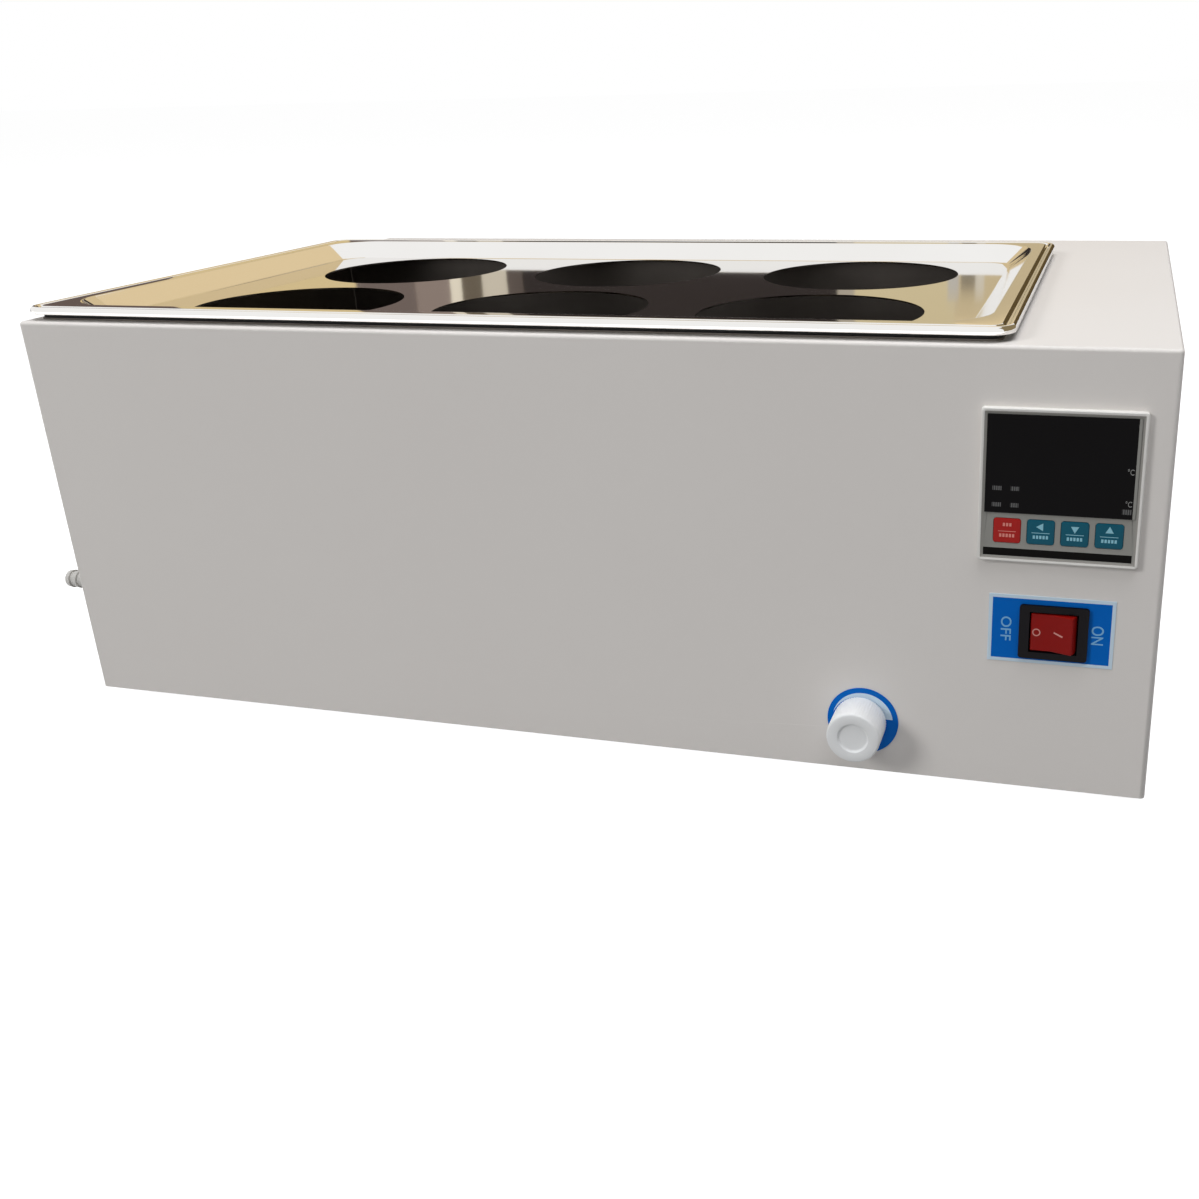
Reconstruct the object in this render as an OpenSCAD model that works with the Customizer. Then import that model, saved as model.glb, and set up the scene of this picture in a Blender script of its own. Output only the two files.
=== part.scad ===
// Six-place thermostatic water bath with magnetic stirring. Lengths are in millimetres.
// Width runs along X, depth along Y with the front at low Y, and height along Z.
// Pieces are placed from the front-left bottom corner of the painted casing, then the
// whole bath is moved so that its origin is on the bench below the middle of its outline.

/* [Deck] */
// Diameter of each place in the cover's deck
hole_d = 119; // [100:1:124]
// Spacing of the places along the width
hole_pitch_x = 152; // [146:1:165]
// Spacing of the places along the depth
hole_pitch_y = 136.5; // [132:0.5:150]
// Deck left beyond the end places along the width
deck_margin_x = 27; // [20:0.5:40]
// Deck left beyond the places along the depth
deck_margin_y = 1; // [0.5:0.5:12]

/* [Cover tray] */
// Thickness of the polished cover sheet
tray_t = 0.9; // [0.7:0.1:1.2]
// Width of the rolled outer lip
lip_w = 4.4; // [3.8:0.1:6]
// Width of the flat between lip and slope
rim_flat_w = 8.4; // [6:0.1:12]
// Run of the slope from the flat down to the deck
rim_slope_w = 13; // [10:0.5:18]
// Height of the rim's crown above the casing top
crown_h = 7.2; // [6.8:0.1:9]
// Depth of the deck below the casing top
deck_drop = 2.9; // [2:0.1:6]
// Radius of the cover's outer corners
tray_corner_r = 12; // [9:0.5:18]
// Gap from the casing's left side to the cover
tray_gap_left = 0.5; // [0:0.5:10]
// Gap from the casing's front to the cover
tray_gap_front = 3; // [2:0.5:10]
// Gap between the casing top and the edge of the cover's lip
lip_gap = 3.5; // [3:0.1:4.5]
// Distance from the lip's edge in to the rubber seal
seal_inset = 6; // [4.8:0.1:7]
// Width of the rubber seal
seal_w = 4.8; // [3:0.1:5]
// Distance from the lip's edge in to the tank's flange, which the seal lies on
flange_inset = 5.3; // [4.9:0.1:5.9]

/* [Casing] */
// Width of the control strip right of the cover
control_strip_w = 71.5; // [70:0.5:110]
// Depth of the strip behind the cover
rear_strip_d = 70; // [60:1:110]
// Height of the drive bay below the tank
drive_bay_h = 70; // [66:1:90]
// Thickness of the folded casing sheet
sheet_t = 1.2; // [0.8:0.1:1.6]
// Outer radius of the upright folded edges
upright_r = 2.5; // [2.2:0.1:4]
// Outer radius of the folded top edges
top_fold_r = 1.8; // [1:0.1:2]
// Width of the flange under the casing
base_flange_w = 16; // [14:1:22]
// Width of the flange around the rear opening
rear_flange_w = 14; // [12:1:18]
// Thickness of the base plate
base_t = 1.5; // [1:0.1:2]
// Thickness of the rear panel
panel_t = 1.2; // [0.8:0.1:2]

/* [Feet] */
// Height that the feet lift the casing
foot_h = 12; // [8:0.5:25]
// Diameter of each rubber foot at its top
foot_d = 26; // [22:1:32]
// Distance of each foot's centre from the casing's sides
foot_inset = 46; // [42:1:60]

/* [Tank] */
// Depth from the casing top to the underside of the tank's floor
tank_depth = 147.5; // [145:0.5:180]
// Thickness of the tank's steel sheet
tank_t = 0.9; // [0.7:0.1:1.2]
// Gap between the slope of the cover and the tank's wall
tank_mouth_gap = 2.8; // [2.4:0.1:3]
// Radius of the tank's upright corners, folded and seam welded
tank_corner_r = 2; // [1.2:0.2:4]
// Thickness of the insulation boards
board_t = 8; // [5:0.5:8]
// Height of the perforated shelf above the tank's floor
shelf_h = 28; // [24:1:36]
// Diameter of the heater tube
heater_d = 9; // [8:0.5:12]
// Width across the heater's bend, centre to centre
heater_span = 120; // [80:2:150]
// Diameter of the temperature probe
probe_d = 6; // [4:0.5:8]

/* [Stirring drive] */
// Diameter of each magnet carrier
carrier_d = 52; // [44:1:56]
// Height of each magnet carrier
carrier_h = 9; // [8:0.5:10]
// Gap between a carrier and the tank's floor
carrier_gap = 2.5; // [1.5:0.5:4]
// Diameter of each stirring motor
motor_d = 37; // [30:1:40]
// Length of each stirring motor
motor_len = 32; // [26:1:34]
// Diameter of the motor shafts
motor_shaft_d = 5; // [4:0.5:6]
// Width of the motor rails
rail_w = 58; // [52:1:64]

/* [Controller] */
// Width and height of the controller's bezel
bezel_w = 72; // [71:0.5:74]
// Distance from the bezel to the casing's right side
bezel_right = 12; // [7:0.5:12.5]
// Distance from the bezel to the casing's top
bezel_top = 27; // [22:0.5:30]
// Height of the bezel in front of the casing
bezel_t = 3; // [2.8:0.1:5]
// Depth of the controller's case behind the casing front
case_depth = 78; // [60:1:95]
// Width of each key
key_w = 12.2; // [10:0.1:13]
// Height of each key
key_h = 11.7; // [9:0.1:12]
// Spacing of the keys
key_pitch = 15.1; // [14.6:0.1:15.5]
// Travel of each key
key_travel = 0.5; // [0.3:0.1:0.6]

/* [Switch] */
// Width of the switch's front frame
switch_w = 31.7; // [31:0.1:34]
// Height of the switch's front frame
switch_h = 26.9; // [26.5:0.1:30]
// Width of the coloured label around the switch
label_w = 57.8; // [54:0.1:66]
// Height of the coloured label around the switch
label_h = 34.1; // [31:0.1:38]
// Gap between the controller's bezel and the label
label_gap = 17.2; // [8:0.1:19]
// Angle that the rocker turns from off to on
rocker_throw = 20; // [14:1:22]

/* [Speed control] */
// Diameter of the speed knob
knob_d = 26; // [23:0.5:30]
// Reach of the knob in front of the casing
knob_reach = 20; // [19:0.5:26]
// Distance of the knob's centre from the casing's right side
knob_right = 139.2; // [125:0.2:170]
// Height of the knob's centre above the casing's bottom edge
knob_z = 27.6; // [25:0.2:34]
// Diameter of the scale disc behind the knob
scale_d = 36; // [34:1:44]
// Sideways offset of the stuck scale from the knob's axis
scale_shift = 1.2; // [0:0.2:2]
// Diameter of the knob's shaft
shaft_d = 6; // [5:0.5:6.5]

/* [Drain] */
// Reach of the drain tap from the casing's left side
drain_reach = 39.5; // [37:0.5:60]
// Distance of the drain's centre from the casing's front
drain_y = 34; // [34:0.5:38]
// Height of the drain's centre above the casing's bottom edge
drain_z = 53.5; // [44:0.5:54]
// Outer diameter of the drain pipe
drain_pipe_d = 13; // [11:0.5:14]
// Diameter of the passage through the drain
drain_bore_d = 7; // [5:0.5:8]

/* [Power] */
// Distance of the inlet's centre from the casing's right side
inlet_right = 40; // [38:1:44]
// Height of the inlet's centre above the casing's bottom edge
inlet_z = 46; // [36:1:48]
// Reach of the fuse cap behind the rear panel
fuse_cap_len = 11; // [9:0.5:16]
// Diameter of the power leads
lead_d = 4; // [3:0.5:4.5]

/* [Hidden] */
$fn = 64;
// Steps taken along an edge that only clears a cut
over = 1;
// Clearance of a pressed-in or screwed fit, of a running shaft and of a loose cut-out
fit_gap = 0.05;
run_gap = 0.05;
cut_gap = 0.3;

// The deck has three places along the width and two along the depth
hole_cols = 3;
hole_rows = 2;
rim_w = lip_w + rim_flat_w + rim_slope_w;
tray_w = (hole_cols - 1) * hole_pitch_x + hole_d + 2 * (deck_margin_x + rim_w);
tray_d = (hole_rows - 1) * hole_pitch_y + hole_d + 2 * (deck_margin_y + rim_w);
tray_x0 = tray_gap_left;
tray_y0 = tray_gap_front;
tray_cx = tray_x0 + tray_w / 2;
tray_cy = tray_y0 + tray_d / 2;

body_w = tray_x0 + tray_w + control_strip_w;
body_d = tray_y0 + tray_d + rear_strip_d;
body_h = drive_bay_h + tank_depth;
crown_z = body_h + crown_h;
deck_z = body_h - deck_drop;
slope_a = atan2(crown_h + deck_drop, rim_slope_w);
lip_h = crown_h - lip_gap;
lip_r = lip_h - 0.3;
seal_h = crown_h - tray_t - tank_t;

base_z = sheet_t;
base_top = base_z + base_t;
rear_face = body_d + panel_t;
rear_reach = panel_t + fuse_cap_len;

// Rotor positions, one below the middle of each place
places = [for (row = [0:hole_rows - 1], col = [0:hole_cols - 1])
  [tray_cx + (col - (hole_cols - 1) / 2) * hole_pitch_x,
   tray_cy + (row - (hole_rows - 1) / 2) * hole_pitch_y]];

// The slope's underside passes the tank's flange at this inset, and the tank stays outside it
slope_under = rim_w - tray_t * tan(slope_a / 2) - (deck_drop + tray_t + tank_t) / tan(slope_a);
tank_inset = slope_under - tank_mouth_gap - tank_t;
tank_x0 = tray_x0 + tank_inset;
tank_x1 = tray_x0 + tray_w - tank_inset;
tank_y0 = tray_y0 + tank_inset;
tank_y1 = tray_y0 + tray_d - tank_inset;
tank_floor_z = drive_bay_h + tank_t;
casing_open_inset = tank_inset - over;

heater_z = tank_floor_z + 4 + heater_d / 2;
heater_end_x = tank_x1 + board_t + 4;
heater_bend_gap = 40;
heater_left_x = tank_x0 + heater_bend_gap + heater_span / 2;
fitting_t = 3;
fitting_rim = 2;
probe_z = tank_floor_z + shelf_h + 22;
probe_len = 120;
thread_gap = 0.1;

carrier_top = drive_bay_h - carrier_gap;
carrier_z = carrier_top - carrier_h;
rail_t = 1.5;
rail_z = carrier_z - 6;
boss_d = motor_shaft_d + 6;
boss_h = rail_t + 1.5;
rail_overhang = 15;
rail_len = (hole_cols - 1) * hole_pitch_x + rail_w + 2 * rail_overhang;
rail_foot_w = 11;
rail_screw_inset = 14;
rail_front_y = tray_cy - (hole_rows - 1) / 2 * hole_pitch_y - rail_w / 2 - rail_foot_w;
motor_screw_r = boss_d / 2 + 6;

// Screws: shank diameter, head diameter and head height of the casing's and the small ones
screw_d = 3.8;
screw_head_d = 7.5;
screw_head_h = 2;
small_screw_d = 2.8;
small_head_d = 5.4;
small_head_h = 1.8;
screw_len = 8;
screw_slot_w = 0.8;
screw_slot_h = 0.9;

bezel_x0 = body_w - bezel_right - bezel_w;
bezel_z0 = body_h - bezel_top - bezel_w;
bezel_cx = bezel_x0 + bezel_w / 2;
bezel_cz = bezel_z0 + bezel_w / 2;
case_w = bezel_w - 5;
bezel_edge_w = 2.6;
bezel_face_drop = 0.6;
bezel_corner_r = 1.5;
window_gap = 0.2;
window_t = 0.5;
window_seat = 1.5;
window_w = bezel_w - 2 * (bezel_edge_w + window_gap);
window_h = bezel_w * 0.635;
window_z0 = bezel_z0 + bezel_w - bezel_edge_w - window_gap - window_h;
key_z = bezel_z0 + 14.9;
key_proud = 0.25;
key_wall = 1.2;
key_flange_w = 0.8;
key_flange_t = 0.6;
key_gap = 0.1;
case_wall = 1.5;
clamp_w = 12;
clamp_t = 3;
pcb_t = 1.6;

label_z0 = bezel_z0 - label_gap - label_h;
label_cx = bezel_cx - 0.7;
label_t = 0.4;
switch_cx = label_cx + 1.3;
switch_cz = label_z0 + label_h / 2 - 0.6;
switch_rim_t = 1.6;
switch_body_w = switch_w - 3;
switch_body_h = switch_h - 2.9;
switch_body_d = 22;
switch_tab_len = 8;
rocker_r = (switch_body_w - 6) / 2 - 0.5;
rocker_h = switch_body_h - 4;
rocker_pivot_y = 2;
rocker_front = 5.4;
pivot_pin_d = 3;
pivot_pin_len = 1.2;

knob_x = body_w - knob_right;
bushing_d = shaft_d + 3;
pot_d = 24;
pot_len = 12;
pot_bore_front = 6;
knob_gap = 0.6;
knob_socket_len = 10;

elbow_w = drain_pipe_d + 4;
elbow_reach = 8.5;
elbow_flange_rim = 3.5;
elbow_flange_t = 3;
drain_x = tank_x0 + 30;
tap_d = 17;
tap_plug_x = -15;
tap_plug_d = 9;
spigot_d = 11;
tap_body_len = 20;
lever_len = 26;
lever_w = 6;
lever_t = 3.5;
drain_nut_t = 4;

inlet_x = body_w - inlet_right;
inlet_w = 48;
inlet_h = 22.5;
inlet_flange_t = 2.5;
inlet_body_w = 28;
inlet_body_h = 20.5;
inlet_body_d = 26;
inlet_tab_len = 7;
socket_w = 24.5;
socket_h = 16.5;
socket_depth = 17;
inlet_pin_pitch = 7;
fuse_rise = 40;
fuse_z = inlet_z + fuse_rise;
fuse_body_d = 14;
fuse_body_len = 34;
fuse_cap_d = 18;
fuse_flange_t = 2;
fuse_stem_d = 8.1;
fuse_stem_len = 18;

relay_w = 45;
relay_d = 60;
relay_h = 24;
relay_right = 36;
relay_x = body_w - relay_right;
relay_y = 175;
strip_x = relay_x;
strip_y = 250;
strip_w = 24;
strip_d = 50;
strip_h = 14;

board_w = 56;
board_y = 5;
board_d = rail_front_y - board_y - 2.5;
board_gap = 8;
board_x = knob_x - pot_d / 2 - board_gap - board_w;
board_parts_x = 10;
board_parts_y = 10;
board_part_h = 14;
transformer_w = 16;
transformer_d = 18;
capacitor_d = 8;
capacitor_pitch = 12;
sink_x = 40;
sink_fin_w = 8;
sink_fin_pitch = 5;
board_hole_inset = 5;
standoff_h = 7;
standoff_across = 5.5;
lead_stub = 10;
lead_drop = 8;

// ---- Shared shapes ----

// Moves a piece from the casing's corner to the bath's own frame
module placed() {
  translate([-(body_w - drain_reach) / 2, -(body_d + rear_reach - knob_reach) / 2, foot_h])
    children();
}

// Rectangle with rounded corners, from its lower left corner
module rounded_rect(w, d, r) {
  translate([r, 0]) square([w - 2 * r, d]);
  translate([0, r]) square([w, d - 2 * r]);
  for (x = [r, w - r], y = [r, d - r]) translate([x, y]) circle(r);
}

// Upright plate or block with rounded corners
module rounded_plate(w, d, h, r) {
  linear_extrude(h) rounded_rect(w, d, r);
}

// Section of a block whose two top edges are rounded
module crowned_section(w, h, r) {
  square([w, h - r]);
  translate([r, 0]) square([w - 2 * r, h]);
  for (x = [r, w - r]) translate([x, h - r]) circle(r);
}

// Block with rounded upright corners and rounded top edges
module crowned_block(w, d, h, corner_r, top_r) {
  translate([corner_r, 0, 0]) rotate([90, 0, 90]) linear_extrude(w - 2 * corner_r)
    crowned_section(d, h, top_r);
  translate([0, d - corner_r, 0]) rotate([90, 0, 0]) linear_extrude(d - 2 * corner_r)
    crowned_section(w, h, top_r);
  for (x = [corner_r, w - corner_r], y = [corner_r, d - corner_r]) translate([x, y, 0])
    rotate_extrude() {
      square([corner_r, h - top_r]);
      square([corner_r - top_r, h]);
      intersection() {
        translate([corner_r - top_r, h - top_r]) circle(top_r);
        square([corner_r, h]);
      }
    }
}

// Cylinders that run along +X, along +Y, or down from z = 0
module rod_x(d, length) {
  rotate([0, 90, 0]) cylinder(d = d, h = length);
}

module rod_y(d, length) {
  rotate([-90, 0, 0]) cylinder(d = d, h = length);
}

module hex_prism(across, h) {
  cylinder(d = across / cos(30), h = h, $fn = 6);
}

// Pan-head screw that points down, its head standing on z = 0
module pan_screw(shank_d, head_d, head_h, length) {
  difference() {
    union() {
      cylinder(d = head_d, h = head_h);
      translate([0, 0, -length]) cylinder(d = shank_d, h = length + over / 2);
    }
    for (a = [0, 90]) rotate(a) translate([-head_d * 0.3, -screw_slot_w / 2, head_h - screw_slot_h])
      cube([head_d * 0.6, screw_slot_w, over + screw_slot_h]);
  }
}

// Lead of round section along a list of points, mitred at its bends
function unit(v) = v / norm(v);
function lead_dir(p, i) = i == 0 ? unit(p[1] - p[0])
  : i == len(p) - 1 ? unit(p[i] - p[i - 1])
  : unit(unit(p[i] - p[i - 1]) + unit(p[i + 1] - p[i]));
function lead_ring(p, i, d, sides, side_dir) =
  let (
    into = i == 0 ? unit(p[1] - p[0]) : unit(p[i] - p[i - 1]),
    plane = lead_dir(p, i),
    u = unit(cross(into, side_dir)),
    v = cross(into, u)
  )
  [for (k = [0:sides - 1])
    let (
      a = 360 * k / sides,
      q = (u * cos(a) + v * sin(a)) * d / 2
    )
    p[i] + q - into * (q * plane) / (into * plane)];

module lead(p, d, side_dir, sides = 8) {
  rings = len(p);
  points = [for (i = [0:rings - 1]) each lead_ring(p, i, d, sides, side_dir)];
  skin = [for (i = [0:rings - 2], k = [0:sides - 1])
    let (m = (k + 1) % sides, a = i * sides, b = a + sides)
    each [[a + k, a + m, b + m], [a + k, b + m, b + k]]];
  first_cap = [[for (k = [0:sides - 1]) sides - 1 - k]];
  last_cap = [[for (k = [0:sides - 1]) (rings - 1) * sides + k]];
  polyhedron(points, concat(skin, first_cap, last_cap), convexity = 4);
}

// ---- Casing, base and rear ----

// Screw places around the base plate, in the middle of the casing's flange
flange_screw_x = 60;
flange_mid = base_flange_w / 2 + sheet_t;
flange_points = [
  for (x = [flange_screw_x, body_w / 2, body_w - flange_screw_x],
       y = [flange_mid, body_d - flange_mid]) [x, y],
  for (x = [flange_mid, body_w - flange_mid]) [x, body_d / 2]
];

module flange_holes() for (p = flange_points) translate([p[0], p[1], -over])
  cylinder(d = screw_d + 2 * thread_gap, h = base_top + 2 * over);

// Screw places around the rear panel, as [x, z]
rear_margin = rear_flange_w / 2 + sheet_t;
rear_points = [
  for (x = [rear_margin, body_w / 3, body_w * 2 / 3, body_w - rear_margin],
       z = [rear_margin + sheet_t, body_h - rear_margin]) [x, z]
];

module casing() color([0.86, 0.85, 0.83]) difference() {
  crowned_block(body_w, body_d, body_h, upright_r, top_fold_r);
  // Hollow, then the openings inside the bottom flange and the rear flange
  translate([sheet_t, sheet_t, sheet_t])
    cube([body_w - 2 * sheet_t, body_d - 2 * sheet_t, body_h - 2 * sheet_t]);
  translate([base_flange_w, base_flange_w, -over])
    cube([body_w - 2 * base_flange_w, body_d - 2 * base_flange_w, 2 * over + sheet_t]);
  translate([rear_flange_w, body_d - sheet_t - over, rear_flange_w + sheet_t])
    cube([body_w - 2 * rear_flange_w, sheet_t + 2 * over, body_h - 2 * rear_flange_w - sheet_t]);
  // Opening that the tank hangs in
  translate([tray_x0 + casing_open_inset, tray_y0 + casing_open_inset, body_h - sheet_t - over])
    rounded_plate(tray_w - 2 * casing_open_inset, tray_d - 2 * casing_open_inset,
      sheet_t + 2 * over, tank_corner_r + over);
  // Front cut-outs for the controller, the switch and the speed control
  translate([bezel_cx - case_w / 2 - cut_gap, -over, bezel_cz - case_w / 2 - cut_gap])
    cube([case_w + 2 * cut_gap, sheet_t + 2 * over, case_w + 2 * cut_gap]);
  switch_hole(-over, sheet_t + 2 * over);
  translate([knob_x, -over, knob_z]) rod_y(bushing_d + 2 * thread_gap, sheet_t + 2 * over);
  // Drain pipe through the left side
  translate([-over, drain_y, drain_z]) rod_x(drain_pipe_d + 2 * cut_gap, sheet_t + 2 * over);
  flange_holes();
  for (p = rear_points) translate([p[0], body_d - sheet_t - over, p[1]])
    rod_y(screw_d + 2 * thread_gap, sheet_t + 2 * over);
}

foot_points = [for (x = [foot_inset, body_w - foot_inset], y = [foot_inset, body_d - foot_inset]) [x, y]];
vent_w = 4;
vent_len = 34;

module base_plate() color([0.72, 0.73, 0.74]) difference() {
  translate([sheet_t + cut_gap, sheet_t + cut_gap, base_z])
    cube([body_w - 2 * (sheet_t + cut_gap), body_d - 2 * (sheet_t + cut_gap), base_t]);
  flange_holes();
  for (p = concat(foot_points, rail_screw_points)) translate([p[0], p[1], 0])
    cylinder(d = screw_d + 2 * thread_gap, h = base_top + over);
  // Cooling slots below the middle of the drive bay
  for (i = [-6:6]) translate([tray_cx + i * 3 * vent_w - vent_w / 2, tray_cy - vent_len / 2, 0])
    cube([vent_w, vent_len, base_top + over]);
}

module base_screws() color([0.75, 0.75, 0.76])
  for (p = flange_points) translate([p[0], p[1], 0]) mirror([0, 0, 1])
    pan_screw(screw_d, screw_head_d, screw_head_h, screw_len);

module rear_panel() color([0.84, 0.83, 0.81]) difference() {
  translate([top_fold_r, body_d, sheet_t])
    cube([body_w - 2 * top_fold_r, panel_t, body_h - sheet_t - top_fold_r]);
  for (p = rear_points) translate([p[0], body_d - over, p[1]])
    rod_y(screw_d + 2 * thread_gap, panel_t + 2 * over);
  translate([inlet_x - inlet_body_w / 2 - cut_gap, body_d - over, inlet_z - inlet_body_h / 2 - cut_gap])
    cube([inlet_body_w + 2 * cut_gap, panel_t + 2 * over, inlet_body_h + 2 * cut_gap]);
  for (s = [-1, 1]) translate([inlet_x + s * inlet_screw_x, body_d - over, inlet_z])
    rod_y(small_screw_d + 2 * thread_gap, panel_t + 2 * over);
  translate([inlet_x, body_d - over, fuse_z]) rod_y(fuse_body_d + 2 * thread_gap, panel_t + 2 * over);
  // Two banks of upright cooling slots
  for (bank = [body_w * 0.3, body_w * 0.7], i = [-5:5])
    translate([bank + i * 3 * vent_w - vent_w / 2, body_d - over, body_h * 0.45])
      cube([vent_w, panel_t + 2 * over, vent_len]);
}

module rear_screws() color([0.75, 0.75, 0.76])
  for (p = rear_points) translate([p[0], rear_face, p[1]]) rotate([-90, 0, 0])
    pan_screw(screw_d, screw_head_d, screw_head_h, screw_len);

// ---- Feet ----

foot_recess_d = 11;
foot_recess_h = foot_h - 5;
foot_taper = 4;
foot_nut_h = 3;
foot_nut_across = 7;

module feet() color([0.1, 0.1, 0.1]) for (p = foot_points) translate([p[0], p[1], -foot_h])
  difference() {
    cylinder(d1 = foot_d - foot_taper, d2 = foot_d, h = foot_h + base_z);
    translate([0, 0, -over]) cylinder(d = foot_recess_d, h = foot_recess_h + over);
    cylinder(d = screw_d + 2 * thread_gap, h = foot_h + base_z + over);
  }

module foot_screws() color([0.7, 0.7, 0.72])
  for (p = foot_points) translate([p[0], p[1], foot_recess_h - foot_h]) mirror([0, 0, 1])
    pan_screw(screw_d, screw_head_d, screw_head_h, base_top + foot_h - foot_recess_h + foot_nut_h + 1);

module foot_nuts() color([0.7, 0.7, 0.72])
  for (p = foot_points) translate([p[0], p[1], base_top]) difference() {
    hex_prism(foot_nut_across, foot_nut_h);
    translate([0, 0, -over]) cylinder(d = screw_d + 2 * fit_gap, h = foot_nut_h + 2 * over);
  }

// ---- Cover and seal ----

// Section of the rim sheet from a corner's centre outwards, with the rolled lip at its end
module lip_section() difference() {
  union() {
    square([tray_corner_r - lip_r, lip_h]);
    square([tray_corner_r, lip_h - lip_r]);
    intersection() {
      translate([tray_corner_r - lip_r, lip_h - lip_r]) circle(lip_r);
      square([tray_corner_r, lip_h]);
    }
  }
  translate([-over, -over]) square([tray_corner_r - lip_r + over, lip_h - tray_t + over]);
  translate([-over, -over]) square([tray_corner_r - tray_t + over, lip_h - lip_r + over]);
  translate([tray_corner_r - lip_r, lip_h - lip_r]) circle(lip_r - tray_t);
}

// Rim of the cover: lip along the sides and round the corners, and the flat sheet inside it
module cover_rim() {
  inner_w = tray_w - 2 * tray_corner_r;
  inner_d = tray_d - 2 * tray_corner_r;
  translate([tray_cx, tray_cy, body_h + lip_gap]) {
    for (turn = [0, 180]) rotate(turn) {
      translate([-inner_w / 2, inner_d / 2, 0]) rotate([90, 0, 90])
        linear_extrude(inner_w) lip_section();
      translate([inner_w / 2, inner_d / 2, 0]) rotate([90, 0, 0])
        linear_extrude(inner_d) lip_section();
      for (s = [-1, 1]) translate([s * inner_w / 2, inner_d / 2, 0]) rotate(45 - 45 * s)
        rotate_extrude(angle = 90) lip_section();
    }
    translate([-inner_w / 2, -inner_d / 2, lip_h - tray_t]) cube([inner_w, inner_d, tray_t]);
  }
}

// Four-sided basin with mitred corners that widens upwards along the rim's slope
module basin_side(inset, span, h) {
  spread = h / tan(slope_a);
  polygon([[inset, 0], [span - inset, 0], [span - inset + spread, h], [inset - spread, h]]);
}

module basin(inset, z0, z1) intersection() {
  translate([tray_x0, tray_y0 + tray_d, z0]) rotate([90, 0, 0])
    linear_extrude(tray_d) basin_side(inset, tray_w, z1 - z0);
  translate([tray_x0, tray_y0, z0]) rotate([90, 0, 90])
    linear_extrude(tray_w) basin_side(inset, tray_d, z1 - z0);
}

module cover_tray() color([0.82, 0.82, 0.84]) difference() {
  union() {
    cover_rim();
    basin(rim_w - tray_t * tan(slope_a / 2), deck_z - tray_t, crown_z - tray_t / 2);
  }
  basin(rim_w, deck_z, crown_z + over);
  for (p = places) translate([p[0], p[1], deck_z - tray_t - over])
    cylinder(d = hole_d, h = tray_t + 2 * over);
}

// Upright plate inside the cover's outline
module tray_plate(inset, h) translate([tray_x0 + inset, tray_y0 + inset, 0])
  rounded_plate(tray_w - 2 * inset, tray_d - 2 * inset, h, max(tray_corner_r - inset, 0.5));

module rim_seal() color([0.07, 0.07, 0.07]) translate([0, 0, body_h + tank_t]) difference() {
  tray_plate(seal_inset, seal_h);
  translate([0, 0, -over]) tray_plate(seal_inset + seal_w, seal_h + 2 * over);
}

// ---- Tank ----

module tank_holes(extra) {
  for (s = [-1, 1]) translate([tank_x1 - tank_t - over, tray_cy + s * heater_span / 2, heater_z])
    rod_x(heater_d + 2 * extra, tank_t + board_t + 3 * over);
  translate([tank_x1 - tank_t - over, tray_cy, probe_z])
    rod_x(probe_d + 2 * extra, tank_t + board_t + 3 * over);
}

module tank() color([0.78, 0.79, 0.8]) difference() {
  union() {
    translate([tank_x0, tank_y0, drive_bay_h])
      rounded_plate(tank_x1 - tank_x0, tank_y1 - tank_y0, tank_depth + tank_t, tank_corner_r);
    translate([0, 0, body_h]) tray_plate(flange_inset, tank_t);
  }
  translate([tank_x0 + tank_t, tank_y0 + tank_t, tank_floor_z])
    rounded_plate(tank_x1 - tank_x0 - 2 * tank_t, tank_y1 - tank_y0 - 2 * tank_t,
      tank_depth + over, tank_corner_r - tank_t);
  tank_holes(fit_gap);
  translate([drain_x, drain_y, drive_bay_h - over])
    cylinder(d = drain_pipe_d + 2 * thread_gap, h = tank_t + 2 * over);
}

shelf_gap = 4;
shelf_leg_w = 60;
shelf_hole_d = 13;
shelf_hole_pitch = 36;
shelf_w = tank_x1 - tank_x0 - 2 * (tank_t + shelf_gap);
shelf_d = tank_y1 - tank_y0 - 2 * (tank_t + shelf_gap);
shelf_cols = floor((shelf_w - shelf_hole_d) / shelf_hole_pitch);
shelf_rows = floor((shelf_d - shelf_hole_d) / shelf_hole_pitch);

module tank_shelf() color([0.8, 0.81, 0.82]) difference() {
  union() {
    translate([tank_x0 + tank_t + shelf_gap, tank_y0 + tank_t + shelf_gap, tank_floor_z + shelf_h - tank_t])
      rounded_plate(shelf_w, shelf_d, tank_t, tank_corner_r - tank_t);
    // Folded legs that stand on the tank's floor
    for (part = [0.3, 0.75], y = [tank_y0 + tank_t + shelf_gap, tank_y1 - 2 * tank_t - shelf_gap])
      translate([tank_x0 + part * (tank_x1 - tank_x0) - shelf_leg_w / 2, y, tank_floor_z])
        cube([shelf_leg_w, tank_t, shelf_h]);
  }
  for (i = [0:shelf_cols - 1], j = [0:shelf_rows - 1])
    translate([(tank_x0 + tank_x1) / 2 + (i - (shelf_cols - 1) / 2) * shelf_hole_pitch,
      (tank_y0 + tank_y1) / 2 + (j - (shelf_rows - 1) / 2) * shelf_hole_pitch,
      tank_floor_z + shelf_h - tank_t - over])
      cylinder(d = shelf_hole_d, h = tank_t + 2 * over);
}

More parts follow.
